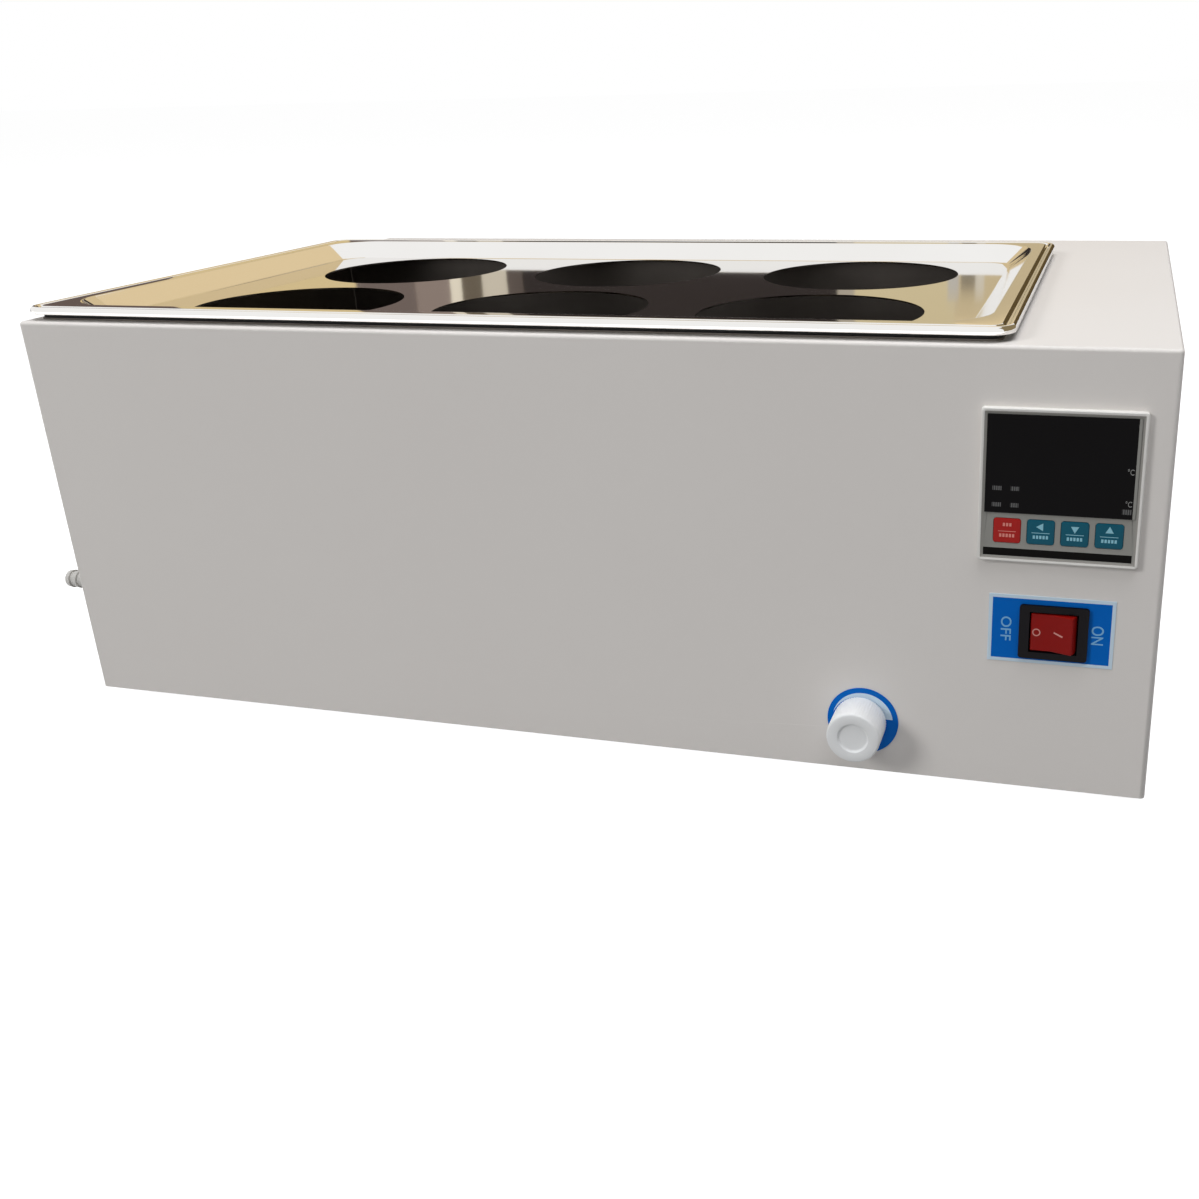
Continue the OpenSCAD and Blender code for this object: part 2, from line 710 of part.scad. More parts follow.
// One board against each wall of the tank; the right one starts behind the controller's case
module insulation_boards() color([0.9, 0.86, 0.7]) {
  high = tank_depth - sheet_t - 2;
  along_x = tank_x1 - tank_x0 - 2 * tank_corner_r;
  y0 = tank_y0 + tank_corner_r;
  y1 = tank_y1 - tank_corner_r;
  right_y0 = case_depth + 6;
  for (y = [tank_y0 - board_t, tank_y1]) translate([tank_x0 + tank_corner_r, y, drive_bay_h])
    cube([along_x, board_t, high]);
  translate([tank_x0 - board_t, y0, drive_bay_h]) cube([board_t, y1 - y0, high]);
  difference() {
    translate([tank_x1, right_y0, drive_bay_h]) cube([board_t, y1 - right_y0, high]);
    tank_holes(5.5);
  }
}

module heater_tube() color([0.6, 0.6, 0.62]) {
  for (s = [-1, 1]) translate([heater_left_x, tray_cy + s * heater_span / 2, heater_z])
    rod_x(heater_d, heater_end_x - heater_left_x);
  translate([heater_left_x, tray_cy, heater_z]) rotate([0, 0, 90]) rotate_extrude(angle = 180)
    translate([heater_span / 2, 0]) circle(d = heater_d);
}

// A hexagon nut outside the wall and a round flange inside it, on each leg of the heater
module heater_fittings() color([0.8, 0.68, 0.35])
  for (s = [-1, 1]) translate([0, tray_cy + s * heater_span / 2, heater_z]) difference() {
    union() {
      translate([tank_x1, 0, 0]) rotate([0, 90, 0]) hex_prism(heater_d + 2 * fitting_rim, board_t);
      translate([tank_x1 - tank_t - fitting_t, 0, 0]) rod_x(heater_d + 2 * fitting_rim, fitting_t);
    }
    translate([tank_x1 - tank_t - fitting_t - over, 0, 0])
      rod_x(heater_d + 2 * fit_gap, board_t + tank_t + fitting_t + 2 * over);
  }

module temperature_probe() color([0.75, 0.76, 0.78])
  translate([tank_x1 - probe_len, tray_cy, probe_z]) rod_x(probe_d, probe_len + board_t + 6);

module probe_gland() color([0.8, 0.68, 0.35]) translate([0, tray_cy, probe_z]) difference() {
  union() {
    translate([tank_x1, 0, 0]) rotate([0, 90, 0]) hex_prism(probe_d + 2 * fitting_rim, board_t + 2);
    translate([tank_x1 - tank_t - fitting_t, 0, 0]) rod_x(probe_d + 2 * fitting_rim, fitting_t);
  }
  translate([tank_x1 - tank_t - fitting_t - over, 0, 0])
    rod_x(probe_d + 2 * fit_gap, board_t + tank_t + fitting_t + 2 + 2 * over);
}

// ---- Stirring drive ----

rail_rows_y = [for (row = [0:hole_rows - 1]) tray_cy + (row - (hole_rows - 1) / 2) * hole_pitch_y];
rail_screw_points = [for (y = rail_rows_y, x = [-1, 1], s = [-1, 1])
  [tray_cx + x * (rail_len / 2 - rail_screw_inset), y + s * (rail_w + rail_foot_w) / 2]];

// Upturned channel on two feet, one below each row of places
module motor_rails() color([0.7, 0.71, 0.72]) difference() {
  rail_h = rail_z - base_top;
  for (y = rail_rows_y) translate([tray_cx - rail_len / 2, y - rail_w / 2, base_top]) {
    difference() {
      cube([rail_len, rail_w, rail_h]);
      translate([-over, rail_t, -over])
        cube([rail_len + 2 * over, rail_w - 2 * rail_t, rail_h - rail_t + over]);
    }
    for (side_y = [-rail_foot_w, rail_w - rail_t]) translate([0, side_y, 0])
      cube([rail_len, rail_foot_w + rail_t, rail_t]);
  }
  for (p = places) translate([p[0], p[1], rail_z - rail_t - over]) {
    cylinder(d = boss_d + 2 * cut_gap, h = rail_t + 2 * over);
    for (s = [-1, 1]) translate([s * motor_screw_r, 0, 0])
      cylinder(d = small_screw_d + 2 * thread_gap, h = rail_t + 2 * over);
  }
  for (p = rail_screw_points) translate([p[0], p[1], base_top - over])
    cylinder(d = screw_d + 2 * thread_gap, h = rail_t + 2 * over);
}

module rail_screws() color([0.75, 0.75, 0.76])
  for (p = rail_screw_points) translate([p[0], p[1], base_top + rail_t])
    pan_screw(screw_d, screw_head_d, screw_head_h, rail_t + base_t + 2);

motor_bore_depth = motor_len * 0.6;
motor_screw_hole_h = 5;

module stir_motors() color([0.35, 0.36, 0.38])
  for (p = places) translate([p[0], p[1], rail_z - rail_t]) difference() {
    union() {
      translate([0, 0, -motor_len]) cylinder(d = motor_d, h = motor_len);
      cylinder(d = boss_d, h = boss_h);
    }
    translate([0, 0, -motor_bore_depth])
      cylinder(d = motor_shaft_d + 2 * run_gap, h = motor_bore_depth + boss_h + over);
    for (s = [-1, 1]) translate([s * motor_screw_r, 0, -motor_screw_hole_h])
      cylinder(d = small_screw_d + 2 * thread_gap, h = motor_screw_hole_h + over);
  }

module motor_screws() color([0.75, 0.75, 0.76])
  for (p = places, s = [-1, 1]) translate([p[0] + s * motor_screw_r, p[1], rail_z])
    pan_screw(small_screw_d, small_head_d, small_head_h, rail_t + motor_screw_hole_h - 1);

magnet_d = 12;
magnet_h = 5;
magnet_r = carrier_d / 2 - magnet_d / 2 - 4;
hub_h = 3;

// Magnet carrier on its shaft, with two magnets in pockets in its top
module stir_rotor(p) translate([p[0], p[1], carrier_z]) {
  color([0.85, 0.85, 0.83]) difference() {
    union() {
      cylinder(d = carrier_d, h = carrier_h);
      translate([0, 0, -hub_h]) cylinder(d = boss_d, h = hub_h + over);
      translate([0, 0, rail_z - rail_t - carrier_z - motor_bore_depth + 1])
        cylinder(d = motor_shaft_d, h = carrier_z - rail_z + rail_t + motor_bore_depth);
    }
    for (s = [-1, 1]) translate([s * magnet_r, 0, carrier_h - magnet_h])
      cylinder(d = magnet_d + 2 * fit_gap, h = magnet_h + over);
  }
  color([0.55, 0.55, 0.57]) for (s = [-1, 1]) translate([s * magnet_r, 0, carrier_h - magnet_h])
    cylinder(d = magnet_d, h = magnet_h - 0.2);
}

// ---- Controller ----

key_xs = [for (i = [-1.5:1:1.5]) bezel_cx + i * key_pitch];
bezel_back = bezel_face_drop + key_wall;
key_flange_y = -bezel_t + bezel_back + key_gap;
pcb_y = key_flange_y + key_flange_t + key_travel + 1.4;

// Front frame of the controller: raised edge, set-back face, window seat and key holes
module controller_bezel() color([0.66, 0.66, 0.65]) difference() {
  translate([bezel_x0, 0, bezel_z0]) rotate([90, 0, 0])
    rounded_plate(bezel_w, bezel_w, bezel_t, bezel_corner_r);
  translate([bezel_x0 + bezel_edge_w, -bezel_t - over, bezel_z0 + bezel_edge_w])
    cube([bezel_w - 2 * bezel_edge_w, over + bezel_face_drop, bezel_w - 2 * bezel_edge_w]);
  translate([bezel_x0 + bezel_edge_w, -bezel_t + bezel_back, bezel_z0 + bezel_edge_w])
    cube([bezel_w - 2 * bezel_edge_w, bezel_t, bezel_w - 2 * bezel_edge_w]);
  translate([bezel_cx - window_w / 2 + window_seat, -bezel_t - over, window_z0 + window_seat])
    cube([window_w - 2 * window_seat, bezel_t + 2 * over, window_h - 2 * window_seat]);
  for (x = key_xs) translate([x - key_w / 2 - window_gap, -bezel_t - over, key_z - key_h / 2 - window_gap])
    cube([key_w + 2 * window_gap, bezel_t + 2 * over, key_h + 2 * window_gap]);
}

// Open-fronted case with cooling slots in its top and underside
module controller_case() color([0.16, 0.16, 0.17]) translate([bezel_cx, 0, bezel_cz]) difference() {
  inner_w = case_w - 2 * case_wall;
  slot_w = 3;
  translate([-case_w / 2, 0, -case_w / 2]) cube([case_w, case_depth, case_w]);
  translate([-inner_w / 2, -over, -inner_w / 2]) cube([inner_w, case_depth - 2 * case_wall + over, inner_w]);
  for (i = [-3:3], s = [-1, 1]) translate([i * 8 - slot_w / 2, case_depth * 0.35, s * case_w / 2 - 2])
    cube([slot_w, case_depth * 0.4, 4]);
}

// Circuit board behind the keys, held on the case's inner walls
module controller_board() color([0.1, 0.35, 0.2]) {
  side = case_w - 2 * (case_wall + key_gap);
  translate([bezel_cx - side / 2, pcb_y, bezel_cz - side / 2]) cube([side, pcb_t, side]);
}

// Spring clamps that pull the case against the casing's front
module controller_clamps() color([0.72, 0.72, 0.74])
  for (s = [-1, 1])
    translate([bezel_cx - clamp_w / 2, sheet_t, bezel_cz + s * (case_w + clamp_t) / 2 - clamp_t / 2])
      cube([clamp_w, case_depth * 0.6, clamp_t]);

module display_window() color([0.03, 0.03, 0.04])
  translate([bezel_cx - window_w / 2, -bezel_t + bezel_face_drop - window_t, window_z0])
    cube([window_w, window_t, window_h]);

// Key cap with a flange that holds it behind the bezel
module key_cap(i, paint) color(paint) {
  translate([key_xs[i] - key_w / 2, -bezel_t + bezel_face_drop - key_proud, key_z - key_h / 2])
    cube([key_w, key_wall + key_proud + 0.4, key_h]);
  translate([key_xs[i] - key_w / 2 - key_flange_w, key_flange_y, key_z - key_h / 2 - key_flange_w])
    cube([key_w + 2 * key_flange_w, key_flange_t, key_h + 2 * key_flange_w]);
}

module key_set() key_cap(0, [0.75, 0.1, 0.12]);

module key_shift() key_cap(1, [0.08, 0.4, 0.52]);

module key_down() key_cap(2, [0.08, 0.4, 0.52]);

module key_up() key_cap(3, [0.08, 0.4, 0.52]);

// ---- Switch ----

module switch_hole(y, depth)
  translate([switch_cx - switch_body_w / 2 - cut_gap, y, switch_cz - switch_body_h / 2 - cut_gap])
    cube([switch_body_w + 2 * cut_gap, depth, switch_body_h + 2 * cut_gap]);

module switch_label() color([0.0, 0.33, 0.65]) difference() {
  translate([label_cx - label_w / 2, -label_t, label_z0]) cube([label_w, label_t, label_h]);
  switch_hole(-label_t - over, label_t + 2 * over);
}

module switch_frame() color([0.08, 0.08, 0.08]) translate([switch_cx, 0, switch_cz]) difference() {
  union() {
    translate([-switch_w / 2, -label_t, -switch_h / 2]) rotate([90, 0, 0])
      rounded_plate(switch_w, switch_h, switch_rim_t, 1.5);
    translate([-switch_body_w / 2, -label_t - 0.5, -switch_body_h / 2])
      cube([switch_body_w, switch_body_d, switch_body_h]);
    // Three blade terminals
    for (x = [-8, 0, 8]) translate([x - 0.4, switch_body_d - over, -3]) cube([0.8, switch_tab_len, 6]);
  }
  front_y = -label_t - switch_rim_t - over;
  translate([-rocker_r - cut_gap, front_y, -rocker_h / 2 - 0.2])
    cube([2 * (rocker_r + cut_gap), rocker_pivot_y + rocker_r + 2 * cut_gap - front_y, rocker_h + 0.4]);
  translate([0, rocker_pivot_y, -rocker_h / 2 - pivot_pin_len - 0.2])
    cylinder(d = pivot_pin_d + 2 * run_gap, h = rocker_h + 2 * pivot_pin_len + 0.4);
}

// Rocker on upright pivot pins: round behind the pivot, two shallow ramps in front
module switch_rocker() color([0.75, 0.1, 0.08])
  translate([switch_cx, rocker_pivot_y, switch_cz]) rotate([0, 0, -rocker_throw / 2]) {
    translate([0, 0, -rocker_h / 2]) linear_extrude(rocker_h) intersection() {
      circle(rocker_r);
      polygon([[-rocker_r, -rocker_front], [0, -rocker_front + 1.6], [rocker_r, -rocker_front],
        [rocker_r, rocker_r * 0.5], [-rocker_r, rocker_r * 0.5]]);
    }
    translate([0, 0, -rocker_h / 2 - pivot_pin_len])
      cylinder(d = pivot_pin_d, h = rocker_h + 2 * pivot_pin_len);
  }

// ---- Speed control ----

module speed_scale() color([0.0, 0.33, 0.65]) translate([knob_x, -label_t, knob_z]) difference() {
  translate([scale_shift, 0, 0]) rod_y(scale_d, label_t);
  translate([0, -over, 0]) rod_y(bushing_d + 2 * thread_gap, label_t + 2 * over);
}

knob_ribs = 48;
rib_w = 0.7;
rib_proud = 0.6;
knob_face_h = 1.5;
knob_back = -label_t - knob_gap;
knob_hollow = 7;
nut_h = 2.2;

// Outline of the ribbed part of the knob
module ribbed_outline() {
  circle(d = knob_d - 2 * rib_proud);
  for (i = [0:knob_ribs - 1]) rotate(i * 360 / knob_ribs)
    translate([knob_d / 2 - 2 * rib_proud, -rib_w / 2]) square([2 * rib_proud, rib_w]);
}

// Ribbed knob with a hollow back that clears the nut
module speed_knob() color([0.92, 0.92, 0.93]) translate([knob_x, -knob_reach, knob_z]) difference() {
  union() {
    rod_y(knob_d - 2 * rib_proud, knob_face_h);
    translate([0, knob_face_h, 0]) rotate([-90, 0, 0])
      linear_extrude(knob_reach + knob_back - knob_face_h) ribbed_outline();
  }
  translate([0, knob_reach - knob_hollow, 0]) rod_y(knob_d - 6, knob_hollow);
  translate([0, knob_reach - knob_hollow - knob_socket_len, 0])
    rod_y(shaft_d + 2 * fit_gap, knob_socket_len + over);
  // Shallow ring sunk in the face
  translate([0, -over, 0]) rod_y(knob_d * 0.58, over + 0.5);
}

module knob_shaft() color([0.75, 0.75, 0.78]) translate([knob_x, -knob_hollow - knob_socket_len, knob_z])
  rod_y(shaft_d, knob_socket_len + knob_hollow + sheet_t + pot_len * 0.8);

module potentiometer() color([0.25, 0.27, 0.3]) translate([knob_x, 0, knob_z]) difference() {
  union() {
    translate([0, sheet_t, 0]) rod_y(pot_d, pot_len);
    translate([0, -label_t - nut_h - 0.6, 0])
      rod_y(bushing_d, label_t + nut_h + 0.6 + sheet_t + over);
    translate([-8, sheet_t + pot_len / 2, -pot_d / 2 - 5]) cube([16, 1.5, 8]);
  }
  translate([0, -pot_bore_front, 0])
    rod_y(shaft_d + 2 * run_gap, pot_bore_front + sheet_t + pot_len * 0.85);
}

module potentiometer_nut() color([0.8, 0.68, 0.35]) translate([knob_x, -label_t - nut_h, knob_z])
  difference() {
    rotate([-90, 0, 0]) hex_prism(bushing_d + 4, nut_h);
    translate([0, -over, 0]) rod_y(bushing_d + 2 * fit_gap, nut_h + 2 * over);
  }

board_holes = [
  for (x = [board_hole_inset, board_w - board_hole_inset],
       y = [board_hole_inset, board_d - board_hole_inset]) [board_x + x, board_y + y]
];
board_z = base_top + standoff_h;
sink_len = board_d - 2 * board_parts_y;
sink_h = 16;
sink_fin_t = 2;

module speed_board() color([0.1, 0.4, 0.2]) difference() {
  translate([board_x, board_y, board_z]) cube([board_w, board_d, pcb_t]);
  for (p = board_holes) translate([p[0], p[1], board_z - over])
    cylinder(d = small_screw_d + 2 * thread_gap, h = pcb_t + 2 * over);
}

// Transformer, two capacitors and a finned heat sink on the board
module board_parts() translate([board_x, board_y, board_z + pcb_t]) {
  color([0.2, 0.2, 0.45]) translate([board_parts_x, board_parts_y, 0])
    cube([transformer_w, transformer_d, board_part_h]);
  color([0.1, 0.1, 0.12]) for (i = [0, 1])
    translate([sink_x - capacitor_d + 1, board_parts_y + 3 + i * capacitor_pitch, 0])
      cylinder(d = capacitor_d, h = board_part_h);
  color([0.6, 0.6, 0.62]) translate([sink_x, board_parts_y, 0]) {
    cube([sink_fin_t, sink_len, sink_h]);
    for (y = [0:sink_fin_pitch:sink_len - sink_fin_t]) translate([0, y, 0])
      cube([sink_fin_w, sink_fin_t, sink_h]);
  }
}

// Hexagon pillar and screw at each corner of the board
module board_standoffs() color([0.8, 0.68, 0.35]) for (p = board_holes) translate([p[0], p[1], 0]) {
  translate([0, 0, base_top]) hex_prism(standoff_across, standoff_h);
  translate([0, 0, board_z]) cylinder(d = small_screw_d, h = pcb_t);
  translate([0, 0, board_z + pcb_t]) cylinder(d = small_head_d, h = small_head_h);
}

// ---- Power ----

relay_step_w = 9;
relay_step_h = 8;

module heater_relay() color([0.2, 0.2, 0.22])
  translate([relay_x - relay_w / 2, relay_y - relay_d / 2, base_top]) difference() {
    cube([relay_w, relay_d, relay_h]);
    for (y = [0, relay_d]) translate([-over, y - relay_step_w, relay_h - relay_step_h])
      cube([relay_w + 2 * over, 2 * relay_step_w, relay_step_h + over]);
  }

strip_ways = 4;
strip_way_w = 8;
strip_way_d = 6;

module terminal_strip() color([0.88, 0.87, 0.8])
  translate([strip_x - strip_w / 2, strip_y - strip_d / 2, base_top]) difference() {
    cube([strip_w, strip_d, strip_h]);
    for (i = [0:strip_ways - 1], x = [0, strip_w])
      translate([x - strip_way_d, (i + 0.5) * strip_d / strip_ways - strip_way_w / 2, strip_h / 2])
        cube([2 * strip_way_d, strip_way_w, strip_h]);
  }

inlet_screw_x = (inlet_w + inlet_body_w) / 4 + 1;
inlet_corner_r = 4;
inlet_pin_z = 2;
inlet_pins = [[-inlet_pin_pitch, -inlet_pin_z], [0, inlet_pin_z], [inlet_pin_pitch, -inlet_pin_z]];

// Appliance inlet: flange outside the panel, body behind it and three recessed pins
module power_inlet() translate([inlet_x, rear_face, inlet_z]) {
  color([0.1, 0.1, 0.1]) difference() {
    union() {
      translate([-inlet_w / 2, inlet_flange_t, -inlet_h / 2]) rotate([90, 0, 0])
        rounded_plate(inlet_w, inlet_h, inlet_flange_t, inlet_corner_r);
      translate([-inlet_body_w / 2, -inlet_body_d, -inlet_body_h / 2])
        cube([inlet_body_w, inlet_body_d + over, inlet_body_h]);
    }
    translate([-socket_w / 2, inlet_flange_t - socket_depth, -socket_h / 2])
      cube([socket_w, socket_depth + over, socket_h]);
    for (s = [-1, 1]) translate([s * inlet_screw_x, -over, 0])
      rod_y(small_screw_d + 2 * thread_gap, inlet_flange_t + 2 * over);
  }
  color([0.8, 0.7, 0.4]) for (pin = inlet_pins) {
    translate([pin[0] - 1, inlet_flange_t - socket_depth, pin[1] - 2]) cube([2, socket_depth - 5, 4]);
    translate([pin[0] - 0.4, -inlet_body_d - inlet_tab_len, pin[1] - 3]) cube([0.8, inlet_tab_len, 6]);
  }
}

module inlet_screws() color([0.75, 0.75, 0.76])
  for (s = [-1, 1]) translate([inlet_x + s * inlet_screw_x, rear_face + inlet_flange_t, inlet_z])
    rotate([-90, 0, 0]) pan_screw(small_screw_d, small_head_d, small_head_h, inlet_flange_t + panel_t + 3);

module fuse_holder() color([0.1, 0.1, 0.1]) translate([inlet_x, rear_face, fuse_z]) difference() {
  union() {
    rod_y(fuse_cap_d, fuse_flange_t);
    translate([0, -fuse_body_len, 0]) rod_y(fuse_body_d, fuse_body_len + over);
    translate([-3, -fuse_body_len - 6, -0.4]) cube([6, 8, 0.8]);
  }
  translate([0, -fuse_body_len + 5, 0]) rod_y(fuse_stem_d + 2 * fit_gap, fuse_body_len + 2 * over);
}

// Cap with a coin slot and the stem that holds the fuse
module fuse_cap() color([0.12, 0.12, 0.12])
  translate([inlet_x, rear_face + fuse_flange_t + fit_gap, fuse_z]) difference() {
    cap_h = fuse_cap_len - fuse_flange_t - fit_gap;
    coin_slot_h = 1.5;
    union() {
      rod_y(fuse_cap_d - 3, cap_h);
      translate([0, -fuse_stem_len, 0]) rod_y(fuse_stem_d, fuse_stem_len + over);
    }
    translate([-fuse_cap_d / 2, cap_h - coin_slot_h, -1]) cube([fuse_cap_d, coin_slot_h + over, 2]);
  }

// ---- Drain ----

// Elbow from the tank's floor to the casing's left side, bored through
module drain_elbow() color([0.75, 0.63, 0.32]) difference() {
  union() {
    translate([drain_x, drain_y, drain_z])
      cylinder(d = drain_pipe_d, h = tank_floor_z + drain_nut_t - drain_z);
    translate([drain_x, drain_y, drive_bay_h - elbow_flange_t])
      cylinder(d = drain_pipe_d + 2 * elbow_flange_rim, h = elbow_flange_t);
    translate([drain_x - elbow_w / 2, drain_y - elbow_w / 2, drain_z - elbow_w / 2])
      cube([elbow_w, elbow_w, elbow_w]);
    translate([-elbow_reach, drain_y, drain_z]) rod_x(drain_pipe_d, drain_x + elbow_reach);
  }
  translate([drain_x, drain_y, drain_z])
    cylinder(d = drain_bore_d + 1, h = tank_floor_z + drain_nut_t - drain_z + over);
  translate([-elbow_reach - over, drain_y, drain_z]) rod_x(drain_bore_d, drain_x + elbow_reach + over);
}

module drain_floor_nut() color([0.8, 0.68, 0.35]) translate([drain_x, drain_y, tank_floor_z]) difference() {
  hex_prism(drain_pipe_d + 6, drain_nut_t);
  translate([0, 0, -over]) cylinder(d = drain_pipe_d + 2 * fit_gap, h = drain_nut_t + 2 * over);
}

module drain_wall_nut() color([0.8, 0.68, 0.35]) translate([-drain_nut_t, drain_y, drain_z]) difference() {
  rotate([0, 90, 0]) hex_prism(drain_pipe_d + 7, drain_nut_t);
  translate([-over, 0, 0]) rod_x(drain_pipe_d + 2 * fit_gap, drain_nut_t + 2 * over);
}

// Tap body with a hose spigot at its end and a seat for the plug
module drain_tap_body() color([0.8, 0.79, 0.77]) translate([0, drain_y, drain_z]) difference() {
  union() {
    translate([-drain_nut_t - tap_body_len, 0, 0]) rod_x(tap_d, tap_body_len);
    translate([-drain_reach, 0, 0]) rod_x(spigot_d - 1.6, drain_reach - drain_nut_t);
    for (x = [-drain_reach, -drain_reach + 5]) translate([x, 0, 0]) rotate([0, 90, 0])
      cylinder(d1 = spigot_d - 1, d2 = spigot_d, h = 3);
    translate([tap_plug_x, 0, 0]) cylinder(d = tap_plug_d + 5, h = tap_d / 2 + 3);
  }
  translate([-elbow_reach - 0.2, 0, 0]) rod_x(drain_pipe_d + 2 * fit_gap, elbow_reach + over);
  translate([-drain_reach - over, 0, 0]) rod_x(drain_bore_d, drain_reach);
  translate([tap_plug_x, 0, -tap_d / 2 + 2]) cylinder(d = tap_plug_d + 2 * run_gap, h = tap_d + 5);
}

// Cross-bored plug with its lever, shown shut with the lever across the pipe
module drain_lever() color([0.86, 0.85, 0.83]) translate([tap_plug_x, drain_y, drain_z]) difference() {
  union() {
    translate([0, 0, -tap_d / 2 + 2.2]) cylinder(d = tap_plug_d, h = tap_d + 1.3);
    translate([0, 0, tap_d / 2 + 3.2]) cylinder(d = tap_plug_d + 4, h = 3);
    translate([-lever_w / 2, -lever_len / 2, tap_d / 2 + 3.2]) cube([lever_w, lever_len, lever_t]);
  }
  translate([0, -tap_plug_d, 0]) rod_y(drain_bore_d - 1, 2 * tap_plug_d);
}

// ---- Leads ----

// Leads from the inlet to the terminal strip, and from the strip forward to the switch
module power_leads() color([0.15, 0.15, 0.16]) {
  tab_y = rear_face - inlet_body_d - inlet_tab_len;
  pin_z = inlet_z - inlet_pin_z;
  strip_back = strip_y + strip_d / 2;
  strip_mid_z = base_top + strip_h / 2;
  relay_front = relay_y - relay_d / 2;
  low_z = base_top + lead_drop;
  switch_back = -label_t - 0.5 + switch_body_d + switch_tab_len;
  for (s = [-1, 1]) {
    x = inlet_x + s * inlet_pin_pitch;
    lead([[x, tab_y, pin_z], [x, tab_y - lead_stub, pin_z], [x, strip_back + lead_drop, strip_mid_z],
      [x, strip_back, strip_mid_z]], lead_d, [1, 0, 0]);
  }
  lead([[strip_x, strip_y - strip_d / 2, low_z], [strip_x, relay_y + relay_d / 2, low_z]], lead_d, [1, 0, 0]);
  lead([[switch_cx, switch_back, switch_cz], [switch_cx, switch_back + lead_stub, switch_cz],
    [relay_x, relay_front - lead_stub, low_z], [relay_x, relay_front, low_z]], lead_d, [1, 0, 0]);
}

// Leads from the relay up to the two ends of the heater
module heater_leads() color([0.7, 0.15, 0.12])
  for (s = [-1, 1]) {
    y = tray_cy + s * heater_span / 2;
    x = heater_end_x + lead_stub;
    relay_end_x = x + 1.2 * lead_stub;
    run_y = relay_y + s * relay_d * 0.23;
    relay_top = base_top + relay_h;
    lead([[heater_end_x, y, heater_z], [x, y, heater_z],
      [x + lead_stub / 5, run_y, relay_top + 1.75 * lead_drop],
      [relay_end_x, run_y, relay_top + lead_drop], [relay_end_x, run_y, relay_top]],
      lead_d, [0.1, 0.3, 1]);
  }

placed() casing();
placed() base_plate();
placed() base_screws();
placed() rear_panel();
placed() rear_screws();
placed() feet();
placed() foot_screws();
placed() foot_nuts();
placed() cover_tray();
placed() rim_seal();
placed() tank();
placed() tank_shelf();
placed() insulation_boards();
placed() heater_tube();
placed() heater_fittings();
placed() temperature_probe();
placed() probe_gland();
placed() motor_rails();
placed() rail_screws();
placed() stir_motors();
placed() motor_screws();
placed() stir_rotor(places[0]);  // stir_rotor_1
placed() stir_rotor(places[1]);  // stir_rotor_2
placed() stir_rotor(places[2]);  // stir_rotor_3
placed() stir_rotor(places[3]);  // stir_rotor_4
placed() stir_rotor(places[4]);  // stir_rotor_5
placed() stir_rotor(places[5]);  // stir_rotor_6
placed() controller_bezel();
placed() controller_case();
placed() controller_board();
placed() controller_clamps();
placed() display_window();
placed() key_set();
placed() key_shift();
placed() key_down();
placed() key_up();
placed() switch_label();
placed() switch_frame();
placed() switch_rocker();
placed() speed_scale();
placed() speed_knob();
placed() knob_shaft();
placed() potentiometer();
placed() potentiometer_nut();
placed() speed_board();
placed() board_parts();
placed() board_standoffs();
placed() heater_relay();
placed() terminal_strip();
placed() power_inlet();
placed() inlet_screws();
placed() fuse_holder();
placed() fuse_cap();
placed() drain_elbow();
placed() drain_floor_nut();
placed() drain_wall_nut();
placed() drain_tap_body();
placed() drain_lever();
placed() power_leads();
placed() heater_leads();
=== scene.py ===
from math import atan2, cos, pi, radians, tan

import bmesh
import bpy
from mathutils import Matrix, Vector


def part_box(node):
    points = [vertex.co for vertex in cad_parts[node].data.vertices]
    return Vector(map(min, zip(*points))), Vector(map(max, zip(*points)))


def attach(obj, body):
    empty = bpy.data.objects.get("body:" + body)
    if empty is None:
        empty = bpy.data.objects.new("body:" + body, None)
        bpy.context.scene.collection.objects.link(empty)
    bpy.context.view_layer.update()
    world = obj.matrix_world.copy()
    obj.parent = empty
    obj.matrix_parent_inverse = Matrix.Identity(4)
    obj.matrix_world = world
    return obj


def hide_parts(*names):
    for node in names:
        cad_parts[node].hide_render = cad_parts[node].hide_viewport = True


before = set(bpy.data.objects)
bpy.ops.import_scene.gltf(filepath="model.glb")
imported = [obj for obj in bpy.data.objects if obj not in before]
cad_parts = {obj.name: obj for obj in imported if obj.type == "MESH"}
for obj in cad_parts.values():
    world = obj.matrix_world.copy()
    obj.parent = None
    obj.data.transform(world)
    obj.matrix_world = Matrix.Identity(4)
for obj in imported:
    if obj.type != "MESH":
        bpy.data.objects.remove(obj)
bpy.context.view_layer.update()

# ---- Camera ----
# A camera on a stand in front of the bath and to its right, a little above the deck.

lens = bpy.data.cameras.new("bench_camera")
lens.sensor_width = 36
lens.lens = 38.580
lens.shift_x, lens.shift_y = -0.14003, -0.01652
camera = bpy.data.objects.new("bench_camera", lens)
camera.location = (0.29300, -0.75228, 0.34028)
camera.rotation_euler = [radians(turn) for turn in (68.713, 1.541, 15.063)]
bpy.context.scene.collection.objects.link(camera)
bpy.context.scene.camera = camera
bpy.context.scene.view_settings.view_transform = "Standard"


# ---- Studio ----
# A pale bench top, an overhead softbox, a white room, and coloured walls that only polished
# metal shows. Finish and Value build the shaders here and for every piece below.

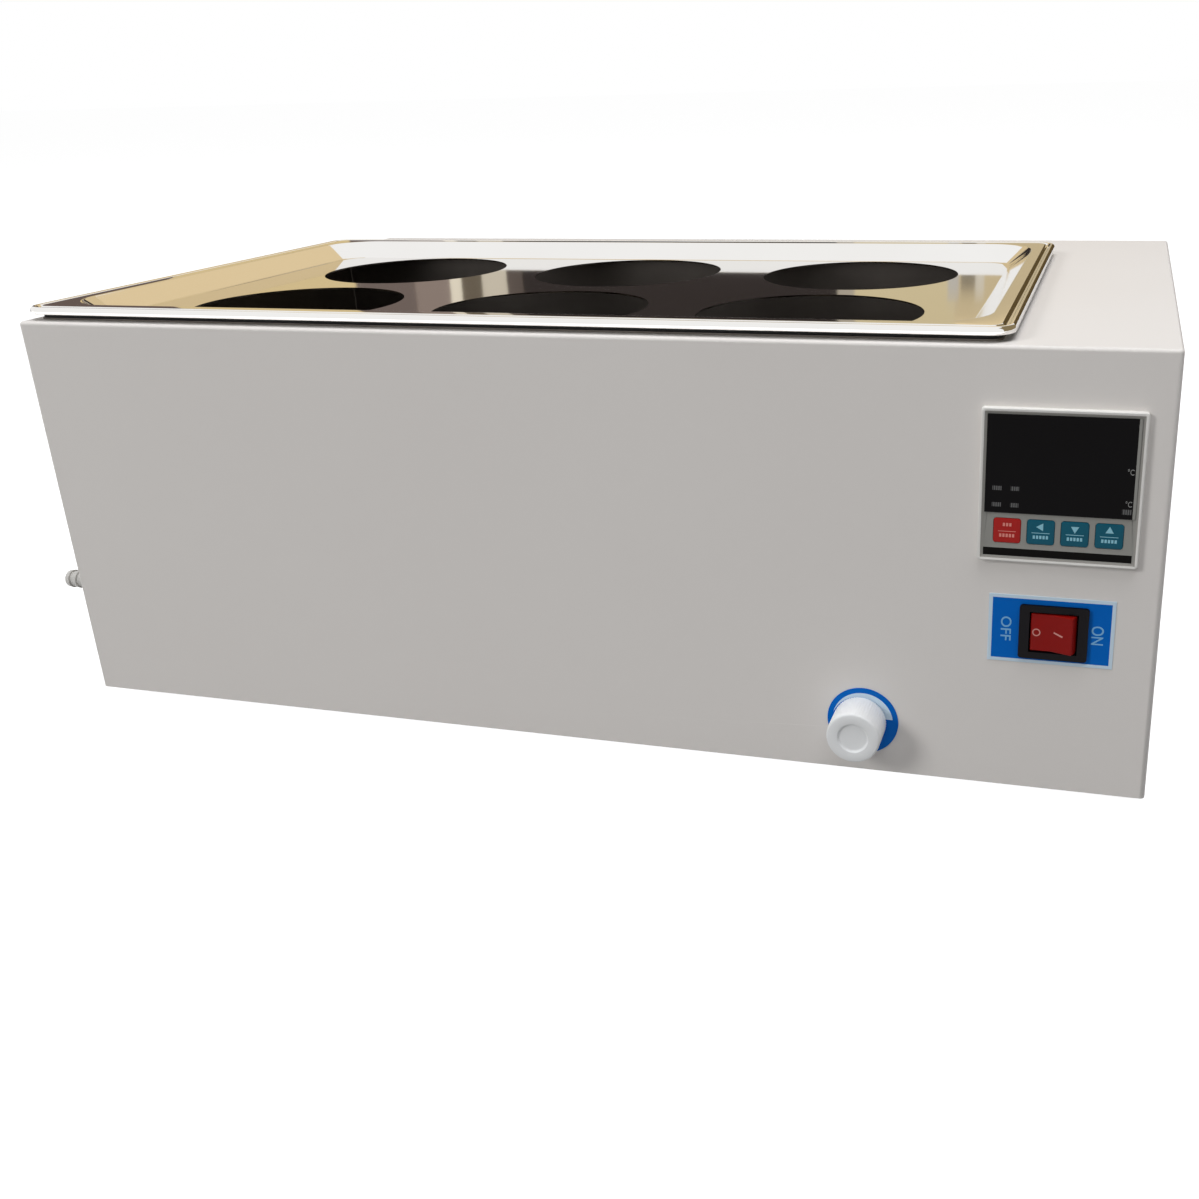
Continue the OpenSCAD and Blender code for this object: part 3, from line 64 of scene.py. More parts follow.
class Value:
    """A shader socket that takes part in sums: each operator adds its Math node."""

    def __init__(self, finish, socket):
        self.finish = finish
        self.socket = socket

    def math(self, operation, *others):
        return self.finish.math(operation, self, *others)

    def __add__(self, other):
        return self.math("ADD", other)

    def __mul__(self, other):
        return self.math("MULTIPLY", other)

    def __sub__(self, other):
        return self.math("SUBTRACT", other)

    def __rsub__(self, other):
        return self.finish.math("SUBTRACT", other, self)

    def __truediv__(self, other):
        return self.math("DIVIDE", other)

    def __lt__(self, other):
        return self.math("LESS_THAN", other)

    def __gt__(self, other):
        return self.math("GREATER_THAN", other)

    __radd__ = __add__
    __rmul__ = __mul__


class Finish:
    """The nodes of one material, or of the room's world."""

    def __init__(self, slot, owner=None, **constants):
        self.slot = slot
        self.material = owner or bpy.data.materials.new(slot)
        self.material.use_nodes = True
        self.tree = self.material.node_tree
        self.shader = self.tree.nodes.get("Principled BSDF")
        for name, value in constants.items():
            self.feed(name.replace("_", " "), value)

    def join(self, socket, value):
        if isinstance(value, Value):
            self.tree.links.new(value.socket, socket)
        else:
            socket.default_value = value

    def node(self, kind, settings=(), sockets=(), output=0):
        made = self.tree.nodes.new("ShaderNode" + kind)
        for name, setting in dict(settings).items():
            if name == "stops":
                for place, colour in setting[1:-1]:
                    made.color_ramp.elements.new(place)
                for element, (place, colour) in zip(made.color_ramp.elements, setting):
                    element.position = place
                    element.color = colour
            else:
                setattr(made, name, setting)
        for name, value in dict(sockets).items():
            self.join(made.inputs[name], value)
        return Value(self, made.outputs[output])

    def math(self, operation, *values):
        return self.node("Math", {"operation": operation}, enumerate(values))

    def feed(self, name, value):
        self.join(self.shader.inputs[name], value)

    def end(self, value):
        """Makes this shader the whole material or world."""
        self.join(self.tree.get_output_node("ALL").inputs["Surface"], value)

    def place(self, stretch=(1, 1, 1)):
        """Where a point is on the piece, in metres, with each axis stretched."""
        here = self.node("TexCoord", output="Object")
        return self.node("VectorMath", {"operation": "MULTIPLY"}, {0: here, 1: stretch})

    def axis(self, letter):
        return self.node("SeparateXYZ", sockets={0: self.place()}, output=letter)

    def noise(self, size, stretch=(1, 1, 1), detail=3.0, roughness=0.55):
        """Cloudy noise from 0 to 1, with blots about size millimetres across."""
        return self.node("TexNoise", sockets={"Vector": self.place(stretch), "Scale": 1000 / size,
                                              "Detail": detail, "Roughness": roughness})

    def blend(self, share, first, second):
        return self.node("Mix", {"data_type": "RGBA"}, {0: share, 6: first, 7: second}, 2)

    def relief(self, height, depth):
        """Bumps depth millimetres high."""
        self.feed("Normal", self.node("Bump", sockets={"Height": height, "Distance": depth / 1000}))


def paint(red, green, blue):
    """An sRGB colour from 0 to 255 as the linear colour that a shader takes."""
    channels = [channel / 255 for channel in (red, green, blue)]
    return (*(c / 12.92 if c < 0.04 else ((c + 0.055) / 1.055) ** 2.4 for c in channels), 1.0)


def add_object(name, data, finish=None):
    made = bpy.data.objects.new(name, data)
    bpy.context.scene.collection.objects.link(made)
    if finish:
        data.materials.append(finish.material)
    return made


def add_stage(name, bm, finish):
    mesh = bpy.data.meshes.new(name)
    bm.to_mesh(mesh)
    bm.free()
    add_object(name, mesh, finish)


def in_view(finish):
    """1 on what is seen straight, in a mirror or through glass, and 0 on what only lights."""
    straight, mirrored, through = (finish.node("LightPath", output=f"Is {kind} Ray")
                                   for kind in ("Camera", "Glossy", "Transmission"))
    return straight.math("MAXIMUM", mirrored).math("MAXIMUM", through)


# The bench top is dark grey to the light and white to the camera, and keeps the shadow
bench = Finish("bench_top", Roughness=0.9, Specular_IOR_Level=0.0, Emission_Strength=1.0)
seen = in_view(bench)
bench.feed("Base Color", bench.blend(seen, (0.28, 0.28, 0.28, 1), (0.60, 0.60, 0.60, 1)))
bench.feed("Emission Color", bench.blend(seen, (0, 0, 0, 1), (0.90, 0.90, 0.90, 1)))
bench_half = 40
bm = bmesh.new()
bmesh.ops.create_grid(bm, x_segments=1, y_segments=1, size=bench_half)
add_stage("bench_top", bm, bench)

# The room is white to the eye, and gives this share of that as light
room_light = 0.15
room = Finish("room", owner=bpy.data.worlds.new("white_room"))
bpy.context.scene.world = room.material
backdrop = room.tree.nodes["Background"].inputs
room.join(backdrop["Color"], (1, 1, 1, 1))
room.join(backdrop["Strength"], room_light + in_view(room) * (1 - room_light))

# Lamps: name, place and side in metres, watts and colour. The first hangs overhead, the second
# shines from the front and left. Both point at the middle of the bath.
bath_middle = Vector((0, 0, 0.15))
lamps = [("overhead_softbox", (0.45, -0.35, 2.2), 1.8, 40, (0.97, 0.98, 1.0)),
         ("front_softbox", (-2.9, -3.3, 2.5), 1.4, 86, (1.0, 1.0, 0.99))]
for name, place, side, watts, colour in lamps:
    light = bpy.data.lights.new(name, "AREA")
    light.size, light.energy, light.color = side, watts, colour
    lamp = add_object(name, light)
    lamp.location = place
    lamp.rotation_euler = (bath_middle - lamp.location).to_track_quat("-Z", "Y").to_euler()
    lamp.visible_glossy = False

# What polished metal mirrors, in strips round the bench: name, colour, where it starts and ends
# in degrees right of straight back, and how many degrees it rises as a wall. One that falls
# lies on the bench top instead, from where a look down from the tray meets it. Each is a step
# nearer than the one before, and hides it.
strips = [
    ("upper_panelling", paint(222, 200, 158), -36, -6.4, 42),
    ("left_dark", paint(104, 90, 84), -52, -40.6, 24),
    ("left_panelling", paint(214, 192, 144), -40.6, -33.3, 30),
    ("left_door", paint(112, 99, 93), -33.3, -30.8, 24),
    ("left_frame", paint(140, 125, 116), -30.8, -29.3, 24),
    ("left_post", paint(226, 216, 196), -29.3, -28.8, 24),
    ("left_shade", paint(104, 94, 80), -28.8, -27.9, 24),
    ("left_blind", paint(200, 190, 172), -27.9, -26.8, 24),
    ("curtain_edge", paint(92, 82, 76), -26.8, -26.1, 24),
    ("curtain", paint(54, 48, 46), -26.1, -11.8, 22),
    ("curtain_hem", paint(170, 160, 144), -11.8, -11.0, 22),
    ("right_panelling", paint(206, 190, 152), -11.0, -6.4, 26),
    ("tall_panelling", paint(234, 211, 168), -6.4, 4.5, 52),
    ("low_rail", paint(198, 180, 144), -6.4, 4.5, 11),
    ("right_post", paint(184, 180, 174), -6.75, -6.25, 9.8),
    ("cabinet", paint(126, 118, 102), -6.15, -5.5, 9.5),
    ("cabinet_edge", paint(206, 198, 182), -5.5, -5.1, 9.8),
    ("right_shade", paint(92, 76, 48), 1.0, 16, 12),
    ("right_wall", paint(140, 124, 92), 16, 110, 60),
    ("left_floor", paint(92, 82, 74), -75, -24, -9),
    ("pale_floor", paint(208, 215, 220), -20, 0, -9),
    ("dark_floor", paint(66, 52, 32), 0, 40, -9),
]
wall_far, wall_step, tray_up, just_off = 18, 0.1, 0.22, 0.001
for name, colour, start, end, rise in strips:
    wall = Finish(name)
    glow = wall.node("Emission", sockets={"Color": colour})
    clear = wall.node("BsdfTransparent")
    mirrored = wall.node("LightPath", output="Is Glossy Ray")
    wall.end(wall.node("MixShader", sockets={0: mirrored, 1: clear, 2: glow}))
    bm = bmesh.new()
    wall_far -= wall_step
    foot = bmesh.ops.create_vert(bm, co=(0, wall_far, just_off))["vert"]
    tip = bmesh.ops.extrude_vert_indiv(bm, verts=foot)["verts"]
    if rise > 0:
        reach = (0, 0, wall_far * tan(radians(rise)))
    else:
        reach = (0, tray_up / tan(radians(-rise)) - wall_far, 0)
    bmesh.ops.translate(bm, verts=tip, vec=reach)
    bmesh.ops.rotate(bm, verts=bm.verts, matrix=Matrix.Rotation(-radians(start), 3, "Z"))
    bmesh.ops.spin(bm, geom=bm.verts[:] + bm.edges[:], angle=radians(start - end), steps=12,
                   axis=(0, 0, 1))
    add_stage(name, bm, wall)

# ---- Casing and rear panel ----
# Folded 1.2 mm sheet steel, powder coated in a warm light grey after welding. The rear panel
# is a flat sheet in the same coat, screwed to the casing's flange.

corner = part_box("casing")[0]


def at(x, y, z):
    """A point in millimetres from the casing's front left bottom corner, in the frame."""
    return corner + Vector((x, y, z)) / 1000


def dress(finish, *nodes, edge=0.25):
    """Gives CAD nodes a finish and breaks their sharp edges by edge millimetres."""
    for name in nodes:
        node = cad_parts[name]
        node.data.materials.clear()
        node.data.materials.append(finish.material)
        if edge:
            weld = node.modifiers.new("weld", "WELD")
            weld.merge_threshold = 1e-6
            bevel = node.modifiers.new("edges", "BEVEL")
            bevel.width = edge / 1000
            bevel.segments = 2
            bevel.limit_method = "ANGLE"
            bevel.angle_limit = radians(40)
            bevel.harden_normals = True


powder_coat = Finish("casing_paint")
cloud = powder_coat.noise(160, detail=4)
peel = powder_coat.noise(1.6, detail=1, roughness=0.4)
powder_coat.feed("Base Color", powder_coat.blend(cloud, paint(228, 223, 219), paint(233, 229, 225)))
powder_coat.feed("Roughness", 0.40 + cloud * 0.10 + peel * 0.04)
powder_coat.relief(peel, 0.035)
dress(powder_coat, "casing", edge=0.2)
dress(powder_coat, "rear_panel", edge=0)

# ---- Cover tray ----
# One sheet of 0.9 mm stainless steel, pressed into a sunk deck with six round places, its
# outer edge rolled over a rubber seal, then polished to a mirror. It lifts off by hand.


def make_piece(name, bm, finish, body, *nodes, sharp=32):
    """Turns a finished bmesh into a piece that rides on a body and stands for CAD nodes."""
    bmesh.ops.remove_doubles(bm, verts=bm.verts, dist=1e-6)
    bmesh.ops.recalc_face_normals(bm, faces=bm.faces)
    for face in bm.faces:
        face.smooth = True
    for edge in bm.edges:
        if edge.calc_face_angle(0) > radians(sharp):
            edge.smooth = False
    mesh = bpy.data.meshes.new(name)
    bm.to_mesh(mesh)
    bm.free()
    piece = add_object(name, mesh, finish)
    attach(piece, body)
    if nodes:
        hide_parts(*nodes)
    return piece


def edges_of(geometry):
    return [part for part in geometry if isinstance(part, bmesh.types.BMEdge)]


def verts_of(geometry):
    return [part for part in geometry if isinstance(part, bmesh.types.BMVert)]


def extruded(bm, edges, move=(0, 0, 0), scale=(1, 1, 1), centre=(0, 0, 0)):
    """Pulls a new row of edges out of a row or loop, moved and scaled about a centre."""
    pulled = bmesh.ops.extrude_edge_only(bm, edges=edges)["geom"]
    fixed = Matrix.Translation(-Vector(centre))
    bmesh.ops.scale(bm, vec=scale, space=fixed, verts=verts_of(pulled))
    bmesh.ops.translate(bm, vec=move, verts=verts_of(pulled))
    return edges_of(pulled)


def edge_bevel(piece, width, limit=60, segments=2):
    bevel = piece.modifiers.new("edges", "BEVEL")
    bevel.width = width / 1000
    bevel.segments = segments
    bevel.limit_method = "ANGLE"
    bevel.angle_limit = radians(limit)


polished = Finish("polished_steel", Metallic=1.0)
haze = polished.noise(90, detail=5)
wave = polished.noise(60, detail=1)
swirl = polished.noise(2.2, stretch=(1, 6, 1), detail=5)
polished.feed("Base Color", polished.blend(haze, paint(236, 234, 231), paint(242, 241, 239)))
polished.feed("Roughness", 0.03 + haze * 0.04 + swirl * 0.02)
polished.relief(wave + swirl * 0.004, 0.06)

cover_low, cover_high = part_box("cover_tray")
cover_mid = (cover_low + cover_high) / 2
cover_size = cover_high - cover_low
corner_r = 0.012
sheet_t = 0.0009
place_r = 0.0595
place_pitch = Vector((0.152, 0.1365))
deck_z = cover_low.z + sheet_t
# Rolled bead and groove, as inset from the outer edge and drop from the crown, in mm
bead = [(0, 3.7), (0, 2.3), (0.18, 1.35), (0.7, 0.55), (1.4, 0.12), (2.1, 0), (2.7, 0.16),
        (3.2, 0.55), (3.6, 1.05), (4.0, 1.4), (4.5, 1.5), (5.0, 1.35), (5.4, 0.95), (5.8, 0.45),
        (6.2, 0.2), (6.6, 0.1)]
# Flat, bend, slope and bend down to the deck. Each corner is a cone about an upright line this
# far in from both edges.
cone_in = 42
slope = [(12, 0.1), (12.35, 0.13), (12.75, 0.3), (13.15, 0.58), (24.9, 9.55), (25.3, 9.82),
         (25.75, 9.99), (26.3, 10.1)]

bm = bmesh.new()
start = Vector((cover_low.x + corner_r, cover_low.y, cover_high.z))
row = bmesh.ops.create_vert(bm, co=start + Vector((0, bead[0][0], -bead[0][1])) / 1000)["vert"]
for (inset, drop), (next_inset, next_drop) in zip(bead, bead[1:]):
    row = verts_of(bmesh.ops.extrude_vert_indiv(bm, verts=row)["verts"])
    bmesh.ops.translate(bm, verts=row, vec=Vector((0, next_inset - inset, drop - next_drop)) / 1000)
chain = bm.edges[:]
for turn in range(4):
    run = Matrix.Rotation(turn * pi / 2, 3, "Z") @ Vector((1, 0, 0))
    length = abs(run.dot(cover_size)) - 2 * corner_r
    chain = extruded(bm, chain, move=run * length)
    outward = Vector(((1, 1, -1, -1)[turn], (-1, 1, 1, -1)[turn], 0))
    pivot = cover_mid + (cover_size / 2 - Vector((corner_r, corner_r, 0))) * outward
    ends = list({vert for edge in chain for vert in edge.verts})
    chain = edges_of(bmesh.ops.spin(
        bm, geom=ends + chain, angle=pi / 2, steps=12, axis=(0, 0, 1), cent=pivot)["geom_last"])
bmesh.ops.remove_doubles(bm, verts=bm.verts, dist=1e-6)
ring = [edge for edge in bm.edges if edge.is_boundary and edge.verts[0].co.z > cover_high.z - 0.001]
last_inset, last_drop = bead[-1]
pivot_in = corner_r * 1000
for inset, drop in slope:
    ring = extruded(bm, ring, (0, 0, (last_drop - drop) / 1000))
    loop = list({vert for edge in ring for vert in edge.verts})
    turn_in = (cone_in - inset) / (pivot_in - last_inset)
    for right, back in ((1, 1), (1, -1), (-1, 1), (-1, -1)):
        bend = [vert for vert in loop if (vert.co.x - cover_mid.x) * right > 0]
        bend = [vert for vert in bend if (vert.co.y - cover_mid.y) * back > 0]
        outward = Vector((right, back, 0))
        pivot = cover_mid + (cover_size / 2 - Vector((1, 1, 0)) * pivot_in / 1000) * outward
        bmesh.ops.scale(bm, vec=(turn_in, turn_in, 1), space=Matrix.Translation(-pivot), verts=bend)
        bmesh.ops.translate(bm, vec=outward * (pivot_in - cone_in) / 1000, verts=bend)
    last_inset, last_drop, pivot_in = inset, drop, cone_in
for column in (-1, 0, 1):
    for line in (-0.5, 0.5):
        middle = cover_mid.xy + Vector((column, line)) * place_pitch
        spot = Matrix.Translation((*middle, deck_z))
        hole = bmesh.ops.create_circle(bm, segments=128, radius=place_r, matrix=spot)["verts"]
        ring += list({edge for vert in hole for edge in vert.link_edges})
bmesh.ops.triangle_fill(bm, use_beauty=True, edges=ring)
cover = make_piece("cover_sheet", bm, polished, "cover", "cover_tray", sharp=40)
for edge in cover.data.edges:
    if max(abs(cover.data.vertices[end].co.z - deck_z) for end in edge.vertices) < 1e-6:
        edge.use_edge_sharp = True
thickness = cover.modifiers.new("sheet", "SOLIDIFY")
thickness.thickness = sheet_t
thickness.offset = -1
even = cover.modifiers.new("even_normals", "WEIGHTED_NORMAL")
even.weight = 100
even.keep_sharp = True

# ---- Seal ----
# A strip of black rubber under the rolled edge, which keeps steam in.

rubber = Finish("black_rubber")
dust = rubber.noise(14, detail=5)
rubber.feed("Base Color", rubber.blend(dust, paint(24, 24, 24), paint(36, 35, 34)))
rubber.feed("Roughness", 0.62 + dust * 0.2)
rubber.relief(rubber.noise(0.8), 0.03)
dress(rubber, "rim_seal")

# ---- Base plate, screws, brackets and nuts ----
# Zinc plated sheet steel and cold-headed screws. The plate closes the casing from below, and
# the rails carry the stirring motors on it.

zinc = Finish("plated_steel", Metallic=1.0)
spangle = zinc.node("TexVoronoi", sockets={"Vector": zinc.place(), "Scale": 240})
streak = zinc.noise(3, stretch=(1, 7, 7), detail=4)
zinc.feed("Base Color", zinc.blend(spangle, paint(168, 172, 178), paint(198, 200, 203)))
zinc.feed("Roughness", 0.26 + streak * 0.16)
zinc.relief(streak, 0.02)
dress(zinc, "base_plate", "base_screws", "rear_screws", "foot_screws", "foot_nuts", "motor_rails",
      "rail_screws", "motor_screws", "controller_clamps", "knob_shaft", "inlet_screws")

# ---- Feet ----
# Four moulded rubber feet, each with a steel screw up through it. They share the seal's rubber.

dress(rubber, "feet", edge=0.8)

# ---- Tank and shelf ----
# A tank folded from 0.9 mm stainless sheet and seam welded, brushed inside, with a perforated
# shelf that stands on four folded legs. Scale roughens both in blotches. Their steel is coloured
# much darker than bare steel, as painted shade for the shaded inside of the tank.

shade_darkened_steel = Finish("tank_steel", Metallic=1.0)
scale_marks = shade_darkened_steel.noise(60, detail=6)
brushed = shade_darkened_steel.noise(1.2, stretch=(0.04, 1, 1), detail=4)
# Both dark greys are painted shade for the inside of the tank. The blotches between them are scale.
shade_darkened_steel.feed("Base Color", shade_darkened_steel.blend(
    scale_marks, paint(96, 90, 86), paint(132, 126, 120)))
shade_darkened_steel.feed("Roughness", 0.30 + brushed * 0.16 + scale_marks * 0.1)
shade_darkened_steel.relief(brushed, 0.02)
dress(shade_darkened_steel, "tank", edge=0)
dress(shade_darkened_steel, "tank_shelf", "temperature_probe")

# ---- Insulation boards ----
# Pressed mineral wool boards round the tank, held by their own stiffness.

wool = Finish("wool_board", Roughness=0.95, Sheen_Weight=0.2)
fibres = wool.noise(1.5, stretch=(1, 5, 1), detail=6)
clumps = wool.noise(18, detail=4)
wool.feed("Base Color", wool.blend(
    clumps * 0.6 + fibres * 0.4, paint(186, 172, 140), paint(222, 212, 186)))
wool.relief(fibres + clumps, 0.5)
dress(wool, "insulation_boards")

# ---- Heater ----
# A hairpin of steel-sheathed heating tube below the shelf, browned by heat.

browned = Finish("heater_steel", Metallic=1.0)
heat = browned.noise(24, detail=4)
browned.feed("Base Color", browned.blend(heat, paint(120, 104, 88), paint(158, 150, 142)))
browned.feed("Roughness", 0.34 + heat * 0.14)
browned.relief(browned.noise(0.9), 0.02)
dress(browned, "heater_tube", edge=0)

# ---- Brass fittings and nuts ----
# Turned brass where a pipe, probe or heater end passes a wall, and on the speed board.

brass = Finish("brass", Metallic=1.0)
tarnish = brass.noise(9, detail=5)
lathe = brass.noise(0.5, stretch=(1, 0.1, 0.1), detail=2)
brass.feed("Base Color", brass.blend(tarnish, paint(176, 142, 78), paint(214, 184, 112)))
brass.feed("Roughness", 0.24 + tarnish * 0.2)
brass.relief(lathe, 0.02)
dress(brass, "heater_fittings", "probe_gland", "potentiometer_nut", "board_standoffs",
      "drain_elbow", "drain_floor_nut", "drain_wall_nut")

# ---- Stirring motors and rotors ----
# Six painted motors hang under the rails. Each turns a nylon carrier with two magnets.

motor_paint = Finish("motor_case")
grit = motor_paint.noise(2.5, detail=5)
motor_paint.feed("Base Color", motor_paint.blend(grit, paint(62, 66, 72), paint(84, 88, 94)))
motor_paint.feed("Roughness", 0.42 + grit * 0.2)
motor_paint.relief(grit, 0.05)
dress(motor_paint, "stir_motors", "potentiometer", edge=0.4)

nylon = Finish("carrier_plastic")
grain = nylon.noise(3, detail=4)
nylon.feed("Base Color", nylon.blend(grain, paint(214, 212, 202), paint(230, 228, 220)))
nylon.feed("Roughness", 0.46 + grain * 0.14)
nylon.relief(grain, 0.02)
dress(nylon, *(f"stir_rotor_{place}" for place in range(1, 7)), edge=0.4)

# ---- Boards and their parts ----
# Glass-fibre boards with a green solder mask, and the dark parts soldered to them.

board = Finish("circuit_board", Coat_Weight=0.4, Coat_Roughness=0.15)
weave = board.node("TexChecker", sockets={"Vector": board.place(), "Scale": 1400})
tracks = board.noise(5, stretch=(1, 3, 1), detail=1)
board.feed("Base Color", board.blend(
    (tracks > 0.56) * 0.8 + weave * 0.1, paint(22, 92, 54), paint(54, 132, 82)))
board.feed("Roughness", 0.3 + tracks * 0.1)
board.relief(tracks > 0.56, 0.03)
dress(board, "controller_board", "speed_board")

moulded = Finish("component_mix")
mottle = moulded.noise(4, detail=4)
moulded.feed("Base Color", moulded.blend(mottle, paint(46, 46, 60), paint(66, 66, 84)))
moulded.feed("Roughness", 0.4 + mottle * 0.2)
moulded.relief(mottle, 0.03)
dress(moulded, "board_parts")

# ---- Black mouldings ----
# Glass-filled nylon: the controller's case, the switch frame, the relay, the appliance inlet
# and the fuse holder with its cap. They snap or screw into the sheet metal.

black = Finish("black_plastic", Specular_IOR_Level=0.1)
pits = black.noise(0.7, detail=2)
shade = black.noise(25, detail=3)
black.feed("Base Color", black.blend(shade, paint(7, 5, 8), paint(14, 12, 15)))
black.feed("Roughness", 0.42 + pits * 0.16)
black.relief(pits, 0.03)
dress(black, "controller_case", "heater_relay", "power_inlet", "fuse_holder", "fuse_cap", edge=0.3)
dress(black, "switch_frame", edge=0.6)

# ---- Terminal strip ----
# A cream plastic strip with steel clamps, screwed to the base plate.

cream = Finish("cream_plastic")
ageing = cream.noise(12, detail=4)
cream.feed("Base Color", cream.blend(ageing, paint(222, 214, 188), paint(236, 230, 208)))
cream.feed("Roughness", 0.38 + ageing * 0.14)
cream.relief(cream.noise(1.2), 0.02)
dress(cream, "terminal_strip")

# ---- Leads ----
# Rubber-sheathed mains leads and silicone-sleeved heater leads, bare of any tie.

leads = (("lead_black", "power_leads", paint(20, 20, 21), paint(34, 34, 36)),
         ("lead_red", "heater_leads", paint(132, 26, 20), paint(164, 40, 30)))
for slot, node, dark, light in leads:
    sleeve = Finish(slot)
    braid = sleeve.node("TexWave", sockets={
        "Vector": sleeve.place(), "Scale": 320, "Distortion": 2.0}, output=1)
    sleeve.feed("Base Color", sleeve.blend(braid, dark, light))
    sleeve.feed("Roughness", 0.5 + braid * 0.2)
    sleeve.relief(braid, 0.08)
    dress(sleeve, node, edge=0)

# ---- Drain tap ----
# A grey moulded tap on the elbow's end, with a hose spigot and a quarter-turn plug and lever.

tap_grey = Finish("tap_plastic")
flow = tap_grey.noise(7, detail=4)
tap_grey.feed("Base Color", tap_grey.blend(flow, paint(206, 204, 200), paint(224, 222, 218)))
tap_grey.feed("Roughness", 0.36 + flow * 0.14)
tap_grey.relief(tap_grey.noise(1.0), 0.02)
dress(tap_grey, "drain_tap_body", "drain_lever", edge=0.5)

# ---- Controller bezel ----
# A moulded ABS frame with a raised lip, over the controller's case. A grey film with a black
# strip along its foot covers the face round the window and the keys. The lip's inner slope is
# painted a darker grey, as painted shade.


def outline(bm, width, height, radius, centre):
    """A loop of edges facing forward: a rectangle in millimetres with rounded corners."""
    sides = 24
    loop = bmesh.ops.create_circle(bm, segments=sides, radius=radius / 1000)["verts"]
    bmesh.ops.rotate(bm, verts=loop, matrix=Matrix.Rotation(pi / sides, 3, "Z"))
    bmesh.ops.rotate(bm, verts=loop, matrix=Matrix.Rotation(pi / 2, 3, "X"))
    for side in (-1, 1):
        for axis, push in (("x", (width / 2 - radius, 0, 0)), ("z", (0, 0, height / 2 - radius))):
            group = [vert for vert in loop if getattr(vert.co, axis) * side > 0]
            bmesh.ops.translate(bm, verts=group, vec=Vector(push) * side / 1000)
    bmesh.ops.translate(bm, verts=loop, vec=centre)
    return list({edge for vert in loop for edge in vert.link_edges})


def stepped(bm, edges, centre, width, height, steps):
    """Pulls a loop through steps of inset and forward travel, all in millimetres."""
    for inset, forward in steps:
        scale = (1 - 2 * inset / width, 1, 1 - 2 * inset / height)
        edges = extruded(bm, edges, (0, -forward / 1000, 0), scale, centre)
        width, height = width - 2 * inset, height - 2 * inset
    return edges


def patch(finish, left, right, foot, top):
    """1 inside a rectangle given in millimetres from the casing's corner, and 0 outside it."""
    x = (finish.axis("X") - corner.x) * 1000
    z = (finish.axis("Z") - corner.z) * 1000
    return (x > left) * (x < right) * (z > foot) * (z < top)


bezel_plastic = Finish("bezel_plastic", Specular_IOR_Level=0.05)
mould = bezel_plastic.noise(0.9, detail=2)
strip = patch(bezel_plastic, 519.4, 585.6, 121.2, 124.9)
film = bezel_plastic.blend(strip, paint(157, 156, 151), paint(9, 8, 7))
face = patch(bezel_plastic, 518.9, 586.3, 120.8, 188.2)
# Between this rectangle and the face lies the lip's inner slope, painted a darker grey as painted
# shade.
slope_shade_area = patch(bezel_plastic, 518.1, 587.1, 120.0, 189.0)
lip_and_slope_shade = bezel_plastic.blend(slope_shade_area, paint(239, 237, 233), paint(160, 157, 152))
bezel_plastic.feed("Base Color", bezel_plastic.blend(face, lip_and_slope_shade, film))
bezel_plastic.feed("Roughness", 0.34 + mould * 0.12)
bezel_plastic.relief(mould, 0.015)

bezel_low, bezel_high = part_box("controller_bezel")
bezel_side = (bezel_high.x - bezel_low.x) * 1000
bezel_back = (bezel_low + bezel_high) / 2
bezel_back.y = bezel_high.y
face_y = bezel_low.y + 0.0006
window_low, window_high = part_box("display_window")
window_mid = (window_low + window_high) / 2
window_size = (window_high - window_low) * 1000
window_cover = 3
key_nodes = {"key_set": "set_key", "key_shift": "shift_key", "key_down": "down_key",
             "key_up": "up_key"}
key_w, key_h, key_gap, flange = 12.2, 11.7, 0.2, 0.8

bm = bmesh.new()
loop = outline(bm, bezel_side, bezel_side, 1.5, bezel_back)
loop = stepped(bm, loop, bezel_back, bezel_side, bezel_side,
               [(0, 2.3), (0.1, 0.4), (0.35, 0.3), (0.9, 0), (0.3, -0.2), (0.95, -0.4)])
holes = outline(bm, window_size.x - window_cover, window_size.z - window_cover, 0.4,
                Vector((window_mid.x, face_y, window_mid.z)))
for node in key_nodes:
    middle = sum(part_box(node), Vector()) / 2
    holes += outline(bm, key_w + 2 * key_gap, key_h + 2 * key_gap, 1.6,
                     Vector((middle.x, face_y, middle.z)))
bmesh.ops.triangle_fill(bm, use_beauty=True, edges=loop + holes)
extruded(bm, holes, (0, 0.0012, 0))
bezel = make_piece("bezel_frame", bm, bezel_plastic, "bath", "controller_bezel")
edge_bevel(bezel, 0.12)

# ---- Display window ----
# A smoked acrylic window bonded to the bezel's face, with small marks printed on its back.

smoked = Finish("window_plastic", Specular_IOR_Level=0.05)
across = (smoked.axis("X") - corner.x) * 1000
marks = [patch(smoked, left, right, foot, foot + 2)
         for left, right in ((522.7, 526.8), (530.9, 534.6)) for foot in (144.8, 152.6)]
marks.append(patch(smoked, 579.9, 583.9, 144.2, 146.6))
mark_gap = 0.28
printed = sum(marks) * (across.math("FRACT") > mark_gap)
cast = smoked.noise(30, detail=2)
dark_window = smoked.blend(cast, paint(5, 3, 4), paint(11, 9, 10))
film_from = 584.5
film_edge = smoked.blend(across > film_from, dark_window, paint(156, 155, 150))
smoked.feed("Base Color", smoked.blend(printed, film_edge, paint(104, 104, 104)))
smoked.feed("Roughness", 0.16 + cast * 0.06)
dress(smoked, "display_window", edge=0.1)


